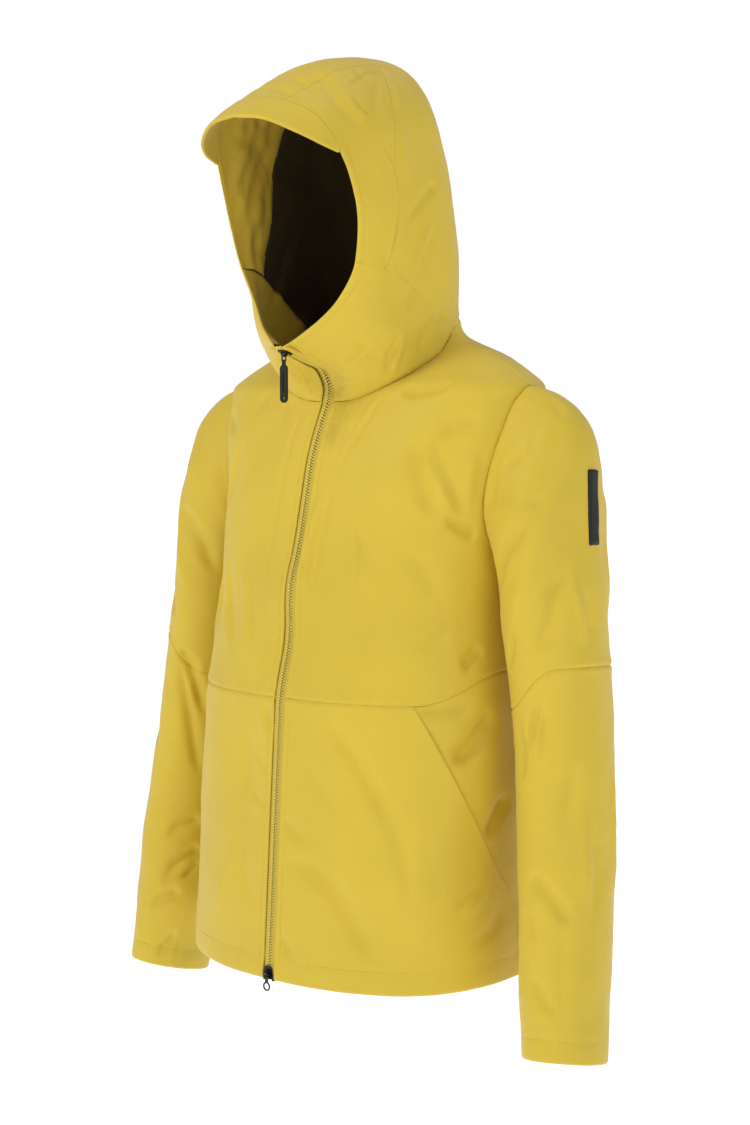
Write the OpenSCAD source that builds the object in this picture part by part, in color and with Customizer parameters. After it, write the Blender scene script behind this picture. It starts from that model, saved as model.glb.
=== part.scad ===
// Foul weather jacket. Millimetres. Wearer's left is +X, front is -Y, up is +Z.
// The origin is the seat of the hang loop at the centre back of the neck.

/* [Fabric] */
// thickness of the outer laminate, seam allowance included
shell_t = 1.2; // [0.8:0.1:1.4]
// thickness of the lining cloth
lining_t = 0.8; // [0.6:0.1:1.0]
// distance from the outer face to the lining
lining_gap = 5.4; // [5.2:0.1:6.0]

/* [Body] */
// half width of the body at the hem
hem_half = 197; // [190:1:200]
// depth of the hem facing
hem_facing_depth = 35; // [20:1:45]
// depth of the hand pocket mouth
pocket_mouth = 7.4; // [7.0:0.1:7.6]

/* [Sleeves] */
// depth of the cuff facing
cuff_facing_depth = 26; // [20:1:40]
// length of the rubber patch on the upper left sleeve
patch_length = 66; // [50:1:80]
// width of that patch
patch_width = 20; // [12:1:24]

/* [Hood] */
// reach of the stiffened brim in front of the crown
brim_depth = 40; // [30:1:42]
// thickness of the brim stiffener
brim_core = 1.4; // [1.0:0.1:1.8]

/* [Zip] */
// distance from one tooth to the next
tooth_pitch = 6; // [5:0.5:8]
// width of the closed chain
chain_w = 6.4; // [6.0:0.1:6.6]
// length of a slider body
slider_len = 14; // [12:0.5:16]
// length of the rubber pull on the top slider
pull_len = 40; // [30:1:44]
// diameter of the ring on the bottom slider
ring_d = 10; // [8.5:0.5:11]

/* [Hidden] */

ORG = [0,61,100];
HEM = -615;
YEL = [0.87,0.77,0.30];
YEL2 = [0.82,0.71,0.26];
DRK = [0.12,0.10,0.08];
BLK = [0.06,0.06,0.06];
CHN = [0.90,0.84,0.42];

// ---------- small maths ----------
function cl(x,a,b) = min(max(x,a),b);
function mix(a,b,t) = a + (b-a)*t;
function sm(x) = let(t=cl(x,0,1)) t*t*(3-2*t);
function unit(v) = v/max(norm(v),1e-9);
function mirx(p,k) = [p[0]*k,p[1],p[2]];
// smooth interpolation in a table whose first column is the argument
function row(T,i) = T[cl(i,0,len(T)-1)];
function tang(T,i) = let(a=row(T,i-1), b=row(T,i+1)) (b-a)/(b[0]-a[0]);
function seg(T,x,i=0) = (i >= len(T)-2 || x < T[i+1][0]) ? i : seg(T,x,i+1);
function herm(T,x) = let(q=cl(x,T[0][0],T[len(T)-1][0]), i=seg(T,q), h=T[i+1][0]-T[i][0], t=(q-T[i][0])/h)
  (2*t*t*t-3*t*t+1)*T[i] + (t*t*t-2*t*t+t)*h*tang(T,i) + (3*t*t-2*t*t*t)*T[i+1] + (t*t*t-t*t)*h*tang(T,i+1);
function lin(T,x) = let(q=cl(x,T[0][0],T[len(T)-1][0]), i=seg(T,q)) mix(T[i],T[i+1],(q-T[i][0])/(T[i+1][0]-T[i][0]));
function crv(a,b,c,d,f) = 0.5*((2*b)+(c-a)*f+(2*a-5*b+4*c-d)*f*f+(3*b-a-3*c+d)*f*f*f);
// smooth curve through equally spaced points
function cr(P,t) = let(n=len(P)-1, x=cl(t,0,1)*n, i=cl(floor(x),0,n-1), f=x-i,
  a = i==0 ? 2*P[0]-P[1] : P[i-1], d = i+2>n ? 2*P[n]-P[n-1] : P[i+2]) crv(a,P[i],P[i+1],d,f);

// ---------- body surface ----------
// height, half width, front, side and back depth
function cfy(z) = -177 + 0.0658*(z+615);
BODY = [
 [-640,hem_half,cfy(-640),-22,117],
 [-615,hem_half,cfy(-615),-22,117],
 [-520,196,cfy(-520),-20,115],
 [-420,195,cfy(-420),-16,113],
 [-340,193,cfy(-340),-12,115],
 [-311,191,-157,-10,117],
 [-210,184,-138,-3,124],
 [-160,184,-128,0,127],
 [-110,188.5,-119,2,129],
 [-68,197,-107,4,126],
 [-30,203,-93,6,121],
 [-2,203,-80,8,114],
 [15,204,-71,10,117],
 [30,183,-50,13,115],
 [50,148,-14,16,108],
 [66,104,4,20,89],
 [77,89,10,23,84],
 [85,86,14,28,78],
 [92,82,20,34,72],
 [96,81,24,36,70]];
PW = 0.851;
function body0(u,z) = let(r=herm(BODY,z), s=sin(u), c=cos(u))
  [sign(s)*r[1]*pow(abs(s),PW), c>0 ? r[3]+(r[2]-r[3])*pow(c,PW) : r[3]+(r[4]-r[3])*pow(-c,PW), z];
function body_n(u,z) = unit(cross(body0(u+1.5,z)-body0(u-1.5,z), body0(u,z+2)-body0(u,z-2)));
function body(uz,o=0) = abs(o)<1e-6 ? body0(uz[0],uz[1]) : body0(uz[0],uz[1]) - o*body_n(uz[0],uz[1]);
// angle at which the surface is x from the centre plane
function u_at(x,z) = asin(pow(cl(x/herm(BODY,z)[1],0,1),1/PW));
EDGE = 7.6;
function zip_u(z) = u_at(EDGE,z);
// waist seam height, side seam, armhole and neckline in (angle, height)
function waist(u) = -315 + 30*sm((u-48)/42);
function side_u(z) = 90 + 10*sm((-160-z)/130);
ARM_Z = -72.5; ARM_H = 87.5; ARM_F = 19; ARM_B = 22;
function arm_u(q,w) = 90 - w*sqrt(max(0,1-q*q));
function arm_uz(a) = [90 - (sin(a)>0 ? ARM_F : ARM_B)*sin(a), ARM_Z+ARM_H*cos(a)];
NECK = [[0,0,-2],[1,8.5,1.5],[2,22,23],[3,44,56],[4,90,77],[5,108,89],[6,128,92],[7,154,92],[8,180,92]];
function neck_uz(s) = let(r=herm(NECK,s*8)) [r[1],r[2]];
S_ZIP = 0.022;

// patch between four border curves
function coons(v,w,B,T,L,R) = (1-v)*B(w)+v*T(w)+(1-w)*L(v)+w*R(v)
  -((1-v)*(1-w)*B(0)+(1-v)*w*B(1)+v*(1-w)*T(0)+v*w*T(1));

// front upper
FU_R = [[0,0],[0.35,0.35],[0.8,0.8],[1,1]];
function fu_B(w) = let(u=mix(zip_u(-315),100,w)) [u,waist(u)];
function fu_T(w) = neck_uz(mix(S_ZIP,0.5,w));
FU_G = [[0,-315],[0.35,-166],[0.8,-26],[1,-2]];
function fu_L(v) = let(z=lin(FU_G,v)[1]) [zip_u(z),z];
function fu_R(v) = v<0.35 ? let(z=mix(waist(100),-160,v/0.35)) [side_u(z),z]
  : v<0.8 ? arm_uz(180-180*(v-0.35)/0.45) : [90,mix(15,77,(v-0.8)/0.2)];
function fu(v,w) = coons(v,w,function(w) fu_B(w),function(w) fu_T(w),function(v) fu_L(v),function(v) fu_R(v));
// front lower, ending at the slanted pocket edge
PK = [[0,48,-315],[0.5,72,-423],[1,94,-526]];
function pocket(t) = let(r=herm(PK,t)) [r[1],r[2]];
function fl_R(v) = v<0.25 ? [100-v*24,mix(HEM,-526,v/0.25)] : pocket(1-(v-0.25)/0.75);
function fl_L(v) = let(z=mix(HEM,-315,v)) [zip_u(z),z];
function fl(v,w) = coons(v,w,function(w) [mix(zip_u(HEM),100,w),HEM],
  function(w) let(u=mix(zip_u(-315),48,w)) [u,waist(u)],function(v) fl_L(v),function(v) fl_R(v));
// side panel behind the pocket edge, rows from the tip up
function sp_L(v) = pocket(1-v)-[6*sm(v*8)+1,2];
function sp_R(v) = let(z=mix(-538,waist(100),v)) [100,z];
function sp(v,w) = mix(sp_L(v),sp_R(v),w);
// back
function bk_T(w) = neck_uz(mix(0.5,1,w));
function yoke(v,w) = coons(v,w,function(w) mix([arm_uz(-115)[0],arm_uz(-115)[1]],[180,-120],w),
  function(w) bk_T(w),
  function(v) v<0.7 ? arm_uz(-115*(1-v/0.7)) : [90,mix(15,77,(v-0.7)/0.3)],
  function(v) [180,mix(-120,92,v)]);
function bl(v,w) = coons(v,w,function(w) [mix(100.45,180,w),HEM],
  function(w) mix([arm_uz(-115)[0],arm_uz(-115)[1]],[180,-120],w),
  function(v) v<0.75 ? let(z=mix(HEM,-160,v/0.75)) [side_u(z)+0.45,z] : arm_uz(-180+65*(v-0.75)/0.25),
  function(v) [180,mix(HEM,-120,v)]);

// lining stands further in where the pocket bags lie
function bump(x,a,b,e) = sm((x-a)/e)*sm((b-x)/e);
function lo(uz) = lining_gap + 6.6*bump(abs(uz[0]),12,112,26)*bump(uz[1],-606,-268,40) + 7*sm((uz[1]+150)/80)*sm((abs(uz[0])-58)/30);

// ---------- sleeve surface, left side ----------
// share of length, centre, fore-aft and sideways half size
ARMT = [
 [0.00, 210,  8,  -60,64,52],
 [0.20, 236,  7, -188,68,50],
 [0.30, 243,  5, -240,67,49],
 [0.42, 253,  1, -313,64,47],
 [0.60, 266,-10, -420,60,47],
 [0.80, 280,-27, -556,56,44],
 [1.00, 289,-42, -676,51,40]];
CAP = 0.2;
function ring0(a,t) = let(r=herm(ARMT,t), e=0.004, p=herm(ARMT,t+e), m=herm(ARMT,t-e),
  d=unit([p[1]-m[1],p[2]-m[2],p[3]-m[3]]), L=unit([1,0,0]-d*d[0]), F=cross(d,L))
  [r[1],r[2],r[3]] + L*r[5]*cos(a) + F*r[4]*sin(a) + [0,0,1]*0.09*r[4]*sin(a)*sm((t-0.7)/0.3);
function cap_dir(a) = unit([0.62+0.34*cos(a), 0.08-0.40*sin(a), -0.56+0.38*cos(a)]);
function sleeve0(a,t) = t>=CAP ? ring0(a,t) :
  let(A=body(arm_uz(a)), R=ring0(a,CAP), f=t/CAP, L=norm(R-A), N=unit(ring0(a,CAP+0.01)-R),
      P=A+cap_dir(a)*L*(0.41+0.06*cos(a)-0.04*sin(a)), Q=R-N*L*(0.42+0.06*cos(a)-0.04*sin(a)))
  pow(1-f,3)*A+3*f*pow(1-f,2)*P+3*f*f*(1-f)*Q+pow(f,3)*R;
function sleeve_n(a,t) = unit(cross(sleeve0(a+3,t)-sleeve0(a-3,t), sleeve0(a,min(1,t+0.012))-sleeve0(a,max(0,t-0.012))));
function sleeve(a,t,o=0) = sleeve0(a,t)-o*sleeve_n(a,t);
// the elbow seam dips on the inner side
function elb(a) = let(q=a<0?a+360:a) 0.365+0.065*(q<180 ? sm((q-48)/80) : 1-sm((q-215)/80));

// ---------- hood and collar surface, left side ----------
// rows run from the centre front round to the centre back, each from the neck to the face edge
HOOD = [
 [[0,-80,-2],[0,-78,14],[0,-88,31],[0,-105.5,36.5],[0,-123,42],[0,-140.5,47.5],[0,-158,53]],
 [[41,-85,2],[44,-90,17],[46,-102,32],[45,-115,46],[41,-128,57],[36,-138,65],[29,-147,71]],
 [[80,-56,23],[86,-70,42],[87,-84,60],[84,-98,76],[78,-111,89],[70,-122,98],[60,-132,103]],
 [[90,2,56],[98,-14,80],[101,-32,100],[100,-54,117],[96,-80,130],[90,-104,138],[82,-128,141]],
 [[89,23,77],[96,18,114],[99,4,148],[98,-22,176],[97,-58,190],[95,-98,195],[92,-137,196]],
 [[78,42,88],[86,38,138],[88,22,200],[90,-8,244],[92,-52,256],[92,-106,255],[88,-157,250]],
 [[68,58,92],[71,56,160],[72,45,230],[74,21,286],[77,-28,316],[76,-104,308],[70,-174,286]],
 [[42,68,92],[40,76,164],[40,72,242],[42,47,312],[41,4,354],[41,-98,346],[37,-188,304]],
 [[0,72,92],[0,87,166],[0,83,246],[0,56,318],[0,10,366],[0,-98,358],[0,-190,309]]];
function hk(k,j) = k<0 ? mirx(HOOD[-k][j],-1) : k>8 ? mirx(HOOD[16-k][j],-1) : HOOD[k][j];
function hcol(s,j) = let(x=s*8, i=cl(floor(x),0,7), f=x-i) crv(hk(i-1,j),hk(i,j),hk(i+1,j),hk(i+2,j),f);
function hood1(s,t) = cr([body(neck_uz(s)),hcol(s,1),hcol(s,2),hcol(s,3),hcol(s,4),hcol(s,5),hcol(s,6)],t);
function hood0(s,t) = s<0 ? mirx(hood1(-s,t),-1) : s>1 ? mirx(hood1(2-s,t),-1) : hood1(s,t);
function hood_n(s,t) = unit(cross(hood0(s+0.012,t)-hood0(s-0.012,t), hood0(s,min(1,t+0.015))-hood0(s,max(0,t-0.015))));
function hood(s,t,o=0) = hood0(s,t)-o*hood_n(s,t);
SC = 0.375;
BRIM = [[0,88,-158,249],[1,82,-182,257],[2,66,-204,269],[3,38,-220,282],[4,0,-226,288]];
function brim_edge(s) = let(r=herm(BRIM,cl((s-0.625)/0.375,0,1)*4)) [r[1],r[2],r[3]];
function brim0(s,v) = s>1 ? mirx(brim0(2-s,v),-1) :
  let(A=hood0(s,1), E=A+(brim_edge(s)-A)*brim_depth/40) mix(A,E,v)+[0,0,3.5*v*(1-v)];
function brim_n(s,v) = unit(cross(brim0(s+0.01,v)-brim0(s-0.01,v), brim0(s,min(1,v+0.05))-brim0(s,max(0,v-0.05))));

// ---------- closed cloth shells ----------
// outer grid A and inner grid B, rows by columns; wrap closes the columns to a ring
function quad(a,b,c,d,fl) = fl ? [[a,c,b],[a,d,c]] : [[a,b,c],[a,c,d]];
function ix(i,j,nc,wrap) = i*nc+(wrap ? j%nc : j);
function flat1(L) = [for(a=L) for(b=a) b];
module cloth(A,B,wrap=false,flip=false) {
  nr=len(A); nc=len(A[0]); m=nr*nc; je=wrap?nc-1:nc-2;
  pts=concat(flat1(A),flat1(B));
  fo=[for(i=[0:nr-2]) for(j=[0:je]) each quad(ix(i,j,nc,wrap),ix(i,j+1,nc,wrap),ix(i+1,j+1,nc,wrap),ix(i+1,j,nc,wrap),!flip)];
  fi=[for(i=[0:nr-2]) for(j=[0:je]) each quad(m+ix(i,j,nc,wrap),m+ix(i,j+1,nc,wrap),m+ix(i+1,j+1,nc,wrap),m+ix(i+1,j,nc,wrap),flip)];
  r0=[for(j=[0:je]) each quad(ix(0,j,nc,wrap),ix(0,j+1,nc,wrap),m+ix(0,j+1,nc,wrap),m+ix(0,j,nc,wrap),flip)];
  r1=[for(j=[0:je]) each quad(ix(nr-1,j,nc,wrap),ix(nr-1,j+1,nc,wrap),m+ix(nr-1,j+1,nc,wrap),m+ix(nr-1,j,nc,wrap),!flip)];
  c0=wrap?[]:[for(i=[0:nr-2]) each quad(i*nc,(i+1)*nc,m+(i+1)*nc,m+i*nc,!flip)];
  c1=wrap?[]:[for(i=[0:nr-2]) each quad(i*nc+nc-1,(i+1)*nc+nc-1,m+(i+1)*nc+nc-1,m+i*nc+nc-1,flip)];
  translate(-ORG) polyhedron(points=pts,faces=concat(fo,fi,r0,r1,c0,c1),convexity=6);
}
function grid(nr,nc,f) = [for(i=[0:nr]) [for(j=[0:nc]) f(i/nr,j/nc)]];
function gmir(G,k) = [for(r=G) [for(p=r) mirx(p,k)]];
// a patch given by (v,w)->(u,z) on the body, between two depths
module bodycloth(nr,nc,f,o1,o2,k=1) {
  cloth(gmir(grid(nr,nc,function(v,w) let(q=f(v,w)) body(q,o1(q))),k),
        gmir(grid(nr,nc,function(v,w) let(q=f(v,w)) body(q,o2(q))),k),false,k<0);
}
// the same, left and right joined across the centre back
module backcloth(nr,nc,f,o1,o2) {
  g=function(v,w) w<=0.5 ? f(v,2*w) : f(v,2-2*w);
  k=function(w) w<=0.5 ? 1 : -1;
  cloth(grid(nr,2*nc,function(v,w) let(q=g(v,w)) mirx(body(q,o1(q)),k(w))),
        grid(nr,2*nc,function(v,w) let(q=g(v,w)) mirx(body(q,o2(q)),k(w))));
}
module hoodcloth(nr,nc,f,o1,o2,k=1) {
  cloth(gmir(grid(nr,nc,function(v,w) let(q=f(v,w)) hood(q[0],q[1],o1)),k),
        gmir(grid(nr,nc,function(v,w) let(q=f(v,w)) hood(q[0],q[1],o2)),k),false,k<0);
}
// sleeve tube between two end curves given as functions of the angle
module sleevecloth(nr,nc,t0,t1,o1,o2,k=1,lift=0) {
  st=function(a,v,o) (lift>0 && v<1e-6) ? sleeve(a,t0(a),o)+cap_dir(a)*lift : sleeve(a,mix(t0(a),t1(a),v),o);
  cloth([for(i=[0:nr]) [for(j=[0:nc-1]) mirx(st(360*j/nc,i/nr,o1),k)]],
        [for(i=[0:nr]) [for(j=[0:nc-1]) mirx(st(360*j/nc,i/nr,o2),k)]],true,k<0);
}
zero=function(q) 0;
sht=function(q) shell_t;
lin1=function(q) lo(q);
lin2=function(q) lo(q)+lining_t;

module front_upper(k) color(YEL) bodycloth(20,8,function(v,w) fu(v,w),zero,sht,k);
module front_upper_left() front_upper(1);
module front_upper_right() front_upper(-1);
module front_lower(k) color(YEL) bodycloth(12,8,function(v,w) fl(v,w),zero,sht,k);
module front_lower_left() front_lower(1);
module front_lower_right() front_lower(-1);
module side_panel(k) color(YEL2) {
  g=function(v,w) pocket_mouth*(1-sm(w*1.1))*sm(v*5+0.35)+0.02;
  cloth(gmir(grid(12,5,function(v,w) body(sp(v,w),g(v,w))),k),
        gmir(grid(12,5,function(v,w) body(sp(v,w),g(v,w)+shell_t)),k),false,k<0);
}
module side_panel_left() side_panel(1);
module side_panel_right() side_panel(-1);
module back_yoke() color(YEL) backcloth(10,8,function(v,w) yoke(v,w),zero,sht);
module back_lower() color(YEL) backcloth(12,8,function(v,w) bl(v,w),zero,sht);

// inner strip folded up at the hem, from zip edge round the back to zip edge
module hem_facing() color(YEL2) {
  zt=HEM+hem_facing_depth;
  ff=function(v,w,o) let(q=[mix(zip_u(HEM)+3.5,180,w<=0.5?2*w:2-2*w),mix(HEM+1,zt,v)]) mirx(body(q,o),w<=0.5?1:-1);
  cloth(grid(1,36,function(v,w) ff(v,w,2.2)),grid(1,36,function(v,w) ff(v,w,2.2+shell_t)));
}
module front_lining(k) color(DRK) {
  ll=function(v) let(z=mix(HEM+34,-2,v)) [u_at(16,z),z];
  rr=function(v) v<0.5 ? let(z=mix(HEM+34,-160,v/0.5)) [side_u(z),z]
    : v<6/7 ? arm_uz(180-180*(v-0.5)/(5/14)) : [90,mix(15,77,(v-6/7)*7)];
  g=function(v,w) coons(v,w,function(w) [mix(u_at(16,HEM+34),100,w),HEM+34],
     function(w) neck_uz(mix(0.05,0.5,w)),ll,rr);
  bodycloth(18,6,g,lin1,lin2,k);
}
module front_lining_left() front_lining(1);
module front_lining_right() front_lining(-1);
module back_lining() color(DRK) {
  g=function(v,w) coons(v,w,function(w) [mix(100,180,w),HEM+34],function(w) bk_T(w),
    function(v) v<0.5 ? let(z=mix(HEM+34,-160,v/0.5)) [side_u(z),z]
      : v<6/7 ? arm_uz(-180+180*(v-0.5)/(5/14)) : [90,mix(15,77,(v-6/7)*7)],
    function(v) [180,mix(HEM+34,92,v)]);
  backcloth(18,7,g,lin1,lin2);
}
// inner half of the hand pocket, hung behind the lower front
module pocket_bag(k) color(DRK) {
  g=function(v,w) [mix(24,mix(92,70,sm(v)),w),mix(-584,-330,v)];
  bodycloth(8,6,g,function(q) lo(q)-2.0,function(q) lo(q)-1.4,k);
}
module pocket_bag_left() pocket_bag(1);
module pocket_bag_right() pocket_bag(-1);
// single guard strip behind the closed chain
module storm_flap() color(YEL2) {
  f=function(v,w,o) let(z=mix(HEM+6,-8,v), x=mix(-13,14.5,w), q=[u_at(abs(x),z),z]) mirx(body(q,o),x<0?-1:1);
  cloth(grid(12,3,function(v,w) f(v,w,6.4)),grid(12,3,function(v,w) f(v,w,6.4+shell_t)));
}
module collar(k) color(YEL) hoodcloth(8,8,function(v,w) [mix(S_ZIP,SC-0.001,w),v],0,shell_t,k);
module collar_left() collar(1);
module collar_right() collar(-1);
module collar_facing(k) color(YEL2) hoodcloth(6,6,function(v,w) [mix(0.06,SC-0.002,w),mix(0.02,0.995,v)],5.4,5.4+shell_t,k);
module collar_facing_left() collar_facing(1);
module collar_facing_right() collar_facing(-1);
// webbing loop sewn to the back lining, standing up over a hook at the origin
module hang_loop() color(YEL2) {
  translate([0,0,-15.3]) rotate([90,0,0]) rotate_extrude(angle=180,$fn=64) translate([16,0]) square([1.4,6],center=true);
  for(k=[-1,1]) {
    translate([k*16,0,-21.3]) cube([1.4,6,12.2],center=true);
    translate([k*16,4.6,-26.2]) cube([4.4,13.0,2.4],center=true);
  }
}

// ---------- zip ----------
TAPE = 1.75;   // depth of the tape centre below the outer face
// centre line of the chain as (y,z), and its outward direction
function zpath(q) = q<=600 ? let(z=HEM+4+q*0.998) [0,body0(0,z)[1],z] : hood0(0,(q-600)/240);
ZL = 240;
function cz(q) = let(z=HEM+q) body0(0,z);
// station list: body part then collar part
NB = floor((-2-HEM-8)/tooth_pitch);
LC = 108;
NC = floor(LC/tooth_pitch);
function station(i) = i<=NB ? let(z=HEM+8+i*tooth_pitch) [body0(0,z),body_n(0,z)]
  : let(t=cl((i-NB-0.5)*tooth_pitch/LC,0,1)) [hood0(0,t),hood_n(0,t)];
NS = NB+NC;
function pt(P,n,x,d) = P+[x,0,0]-n*(d);
module zip_tape(k) color(YEL2) {
  zs=[for(i=[0:4:NB]) HEM+8+i*tooth_pitch];
  ct=function(i) cl((i-NB-0.5)*tooth_pitch/LC,0,1);
  st=concat([[body0(0,HEM+1),body_n(0,HEM+1),-1]],[for(i=[0:3:NB]) concat(station(i),[-1])],[for(i=[NB+1:2:NS]) concat(station(i),[ct(i)])],[[hood0(0,0.99),hood_n(0,1),0.99]]);
  // on the collar the outer half of the tape follows the collar's own curve
  x1=function(t) t<0.33 ? 41+15*t : 46-(t-0.33)*25;
  cp=function(s,x,d) (s[2]<0.05 || x<7) ? pt(s[0],s[1],k*x,d) : mirx(hood(x/(8*x1(s[2])),s[2],d+0.35),k);
  tx=[3.35,5.2,7.4,9.4,14]; td=[0,0,0.1,0.5,0.8];
  A=[for(s=st) [for(i=[0:4]) cp(s,tx[i],TAPE-0.4+td[i])]];
  B=[for(s=st) [for(i=[0:4]) cp(s,tx[i],TAPE+0.4+td[i])]];
  cloth(A,B,false,k<0);
}
module zip_tape_left() zip_tape(1);
module zip_tape_right() zip_tape(-1);
// a bead on the tape edge with teeth reaching towards the centre
module zip_teeth(k) color(CHN) {
  w=chain_w/2; ht=1.25;
  prof=function(i,f,inner) let(a=station(i),b=station(i+1),P=mix(a[0],b[0],f),n=unit(mix(a[1],b[1],f)))
    [pt(P,n,k*inner,TAPE-ht),pt(P,n,k*w,TAPE-ht),pt(P,n,k*w,TAPE+ht),pt(P,n,k*inner,TAPE+ht)];
  hf = k>0 ? 0 : 0.5;
  R=[for(i=[0:NS-1]) each [prof(i,hf*0.9+0.05,0.65),prof(i,hf*0.9+0.5,2.1)]];
  n=len(R); fl=k>0;
  side=[for(i=[0:n-2]) for(j=[0:3]) each quad(4*i+j,4*i+(j+1)%4,4*(i+1)+(j+1)%4,4*(i+1)+j,fl)];
  caps=concat(quad(0,1,2,3,!fl),quad(4*n-4,4*n-3,4*n-2,4*n-1,fl));
  translate(-ORG) polyhedron(points=flat1(R),faces=concat(side,caps),convexity=10);
}
module zip_teeth_left() zip_teeth(1);
module zip_teeth_right() zip_teeth(-1);

// frames on the straight runs: local x across, y outward, z up the chain
SL_DIR = [0,(-170.8+177)/95,1];
SL_A = atan2((-170.8+177)/95,1);
module on_body(z) translate(body0(0,z)-ORG) rotate([-SL_A,0,0]) mirror([0,1,0]) translate([0,-TAPE,0]) children();
CO_A = atan2(17.5,5.5);
module on_collar(y) translate([0,y,53+(y+158)*(-5.5/17.5)]-ORG) rotate([CO_A,0,0]) mirror([0,1,0]) translate([0,-TAPE,0]) children();

module slider(len) {
  w=9.6; fw=1.15; in=1.75; t=1.35; g=0.78;
  for(s=[-1,1]) {
    translate([0,s*(in+t/2),0]) intersection() {
      cube([w+2,t,len],center=true);
      union() { translate([0,0,-len*0.14]) cube([w,t,len*0.72],center=true);
        translate([0,0,len*0.22]) rotate([90,0,0]) cylinder(h=t,r=w/2,center=true,$fn=48); }
    }
    for(k=[-1,1]) translate([k*(w/2-fw/2),s*(g+(in-g)/2+0.05),-len*0.14]) cube([fw,in-g+0.1,len*0.72],center=true);
  }
  translate([0,0,len*0.10]) cube([0.6,2*in+0.2,len*0.6],center=true);
  // bail on the outer plate that carries the pull
  difference() {
    translate([0,in+t,0]) rotate([0,90,0]) cylinder(h=3.2,r=3.8,center=true,$fn=48);
    translate([0,in+t,0]) rotate([0,90,0]) cylinder(h=5,r=2.7,center=true,$fn=48);
    translate([0,in+t-5.01,0]) cube([6,10,10],center=true);
  }
}
ZT = -148;
ZB = HEM+7.5;
module slider_top() color(BLK) on_collar(ZT) rotate([0,0,0]) slider(slider_len);
module slider_bottom() color(BLK) on_body(ZB) slider(slider_len);
BAIL = 1.75+1.35+1.7;
// long rubber pull, hanging straight down from the top slider
PT = let(A=[0,ZT,53+(ZT+158)*(-5.5/17.5)], n=[0,-sin(90-CO_A),-cos(90-CO_A)]) A + n*(BAIL-TAPE);
// pin and cheeks that hang a pull on a slider's bail
module pull_head() {
  rotate([0,90,0]) cylinder(h=6,r=0.55,center=true,$fn=32);
  for(k=[-1,1]) translate([k*2.6,0,-2.4]) cube([0.9,1.3,6],center=true);
  for(k=[-1,1]) translate([k*2.6,0,0.6]) rotate([0,90,0]) cylinder(h=0.9,r=0.65,center=true,$fn=32);
  translate([0,0,-5.6]) cube([6.1,1.3,1.6],center=true);
}
module pull_top() color(BLK) translate(PT-ORG) {
  pull_head();
  translate([0,0,-8.2]) cube([4.6,1.3,5],center=true);
  difference() {
    union() {
      translate([0,0,-10-pull_len/2]) cube([9.6,2.4,pull_len-9.6],center=true);
      for(k=[-1,1]) translate([0,0,-10-pull_len/2+k*(pull_len-9.6)/2]) rotate([90,0,0]) cylinder(h=2.4,r=4.8,center=true,$fn=48);
    }
    translate([0,0,-8-pull_len/2]) cube([1.6,3,pull_len-19],center=true);
    translate([0,0,-5.2-pull_len]) rotate([90,0,0]) cylinder(h=5,r=1.6,center=true,$fn=36);
  }
}
PB = body0(0,ZB) - body_n(0,ZB)*(TAPE-BAIL);
// yoke and ring under the bottom slider
module pull_bottom() color(BLK) translate(PB-ORG) {
  pull_head();
  translate([0,0,-8.2]) cube([3.6,1.3,5],center=true);
  translate([0,0,-10-ring_d/2]) rotate([90,0,0]) rotate_extrude() translate([ring_d/2-0.9,0]) circle(r=0.9,$fn=24);
}
// stops on the tape ends beside the bottom slider
module tape_end(w) difference() { cube([w,4.2,7],center=true); translate([0,0,1.2]) cube([w+1,1.1,7],center=true); }
module zip_box() color(BLK) on_body(HEM+3) translate([6.35,0,-0.6]) tape_end(2);
module zip_pin() color(BLK) on_body(HEM+3) translate([-6.2,0,-0.6]) tape_end(1.6);
module zip_stop(k) color(CHN) translate(hood0(0,0.992)-ORG) rotate([CO_A,0,0]) translate([k*2.0,TAPE,0]) cube([2.5,3.0,1.8],center=true);
module zip_stop_left() zip_stop(1);
module zip_stop_right() zip_stop(-1);

// ---------- hood ----------
HS0 = SC+0.001; HT0 = 0.018; HB = 0.75; SK = 0.875;
module hood_side(k) color(YEL) hoodcloth(12,10,function(v,w) [mix(HS0,SK,w),mix(HT0,HB,v)],0,shell_t,k);
module hood_side_left() hood_side(1);
module hood_side_right() hood_side(-1);
module hood_band(k) color(YEL) hoodcloth(3,10,function(v,w) [mix(HS0,SK,w),mix(HB,1,v)],0,shell_t,k);
module hood_band_left() hood_band(1);
module hood_band_right() hood_band(-1);
module hood_center() color(YEL) hoodcloth(16,4,function(v,w) [mix(SK,2-SK,w),mix(HT0,1,v)],0,shell_t);
module hood_facing() color(YEL2) hoodcloth(3,20,function(v,w) [mix(SC+0.002,2-SC-0.002,w),mix(0.72,0.995,v)],5.4,5.4+lining_t);
module hood_lining() color(DRK) hoodcloth(8,20,function(v,w) [mix(SC+0.002,2-SC-0.002,w),mix(0.03,0.72,v)],5.4,5.4+lining_t);
module brimcloth(o1,o2,v0,v1) cloth(grid(2,16,function(v,w) let(s=mix(0.632,1.368,w),q=mix(v0,v1,v)) brim0(s,q)-o1*brim_n(s,q)),
   grid(2,16,function(v,w) let(s=mix(0.632,1.368,w),q=mix(v0,v1,v)) brim0(s,q)-o2*brim_n(s,q)));
module brim_top() color(YEL) brimcloth(0,0.9,0.02,1);
module brim_core_sheet() color(BLK) brimcloth(1.2,1.2+brim_core,0.06,0.94);
module brim_under() color(YEL2) brimcloth(1.5+brim_core,2.4+brim_core,0.02,1);

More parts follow.
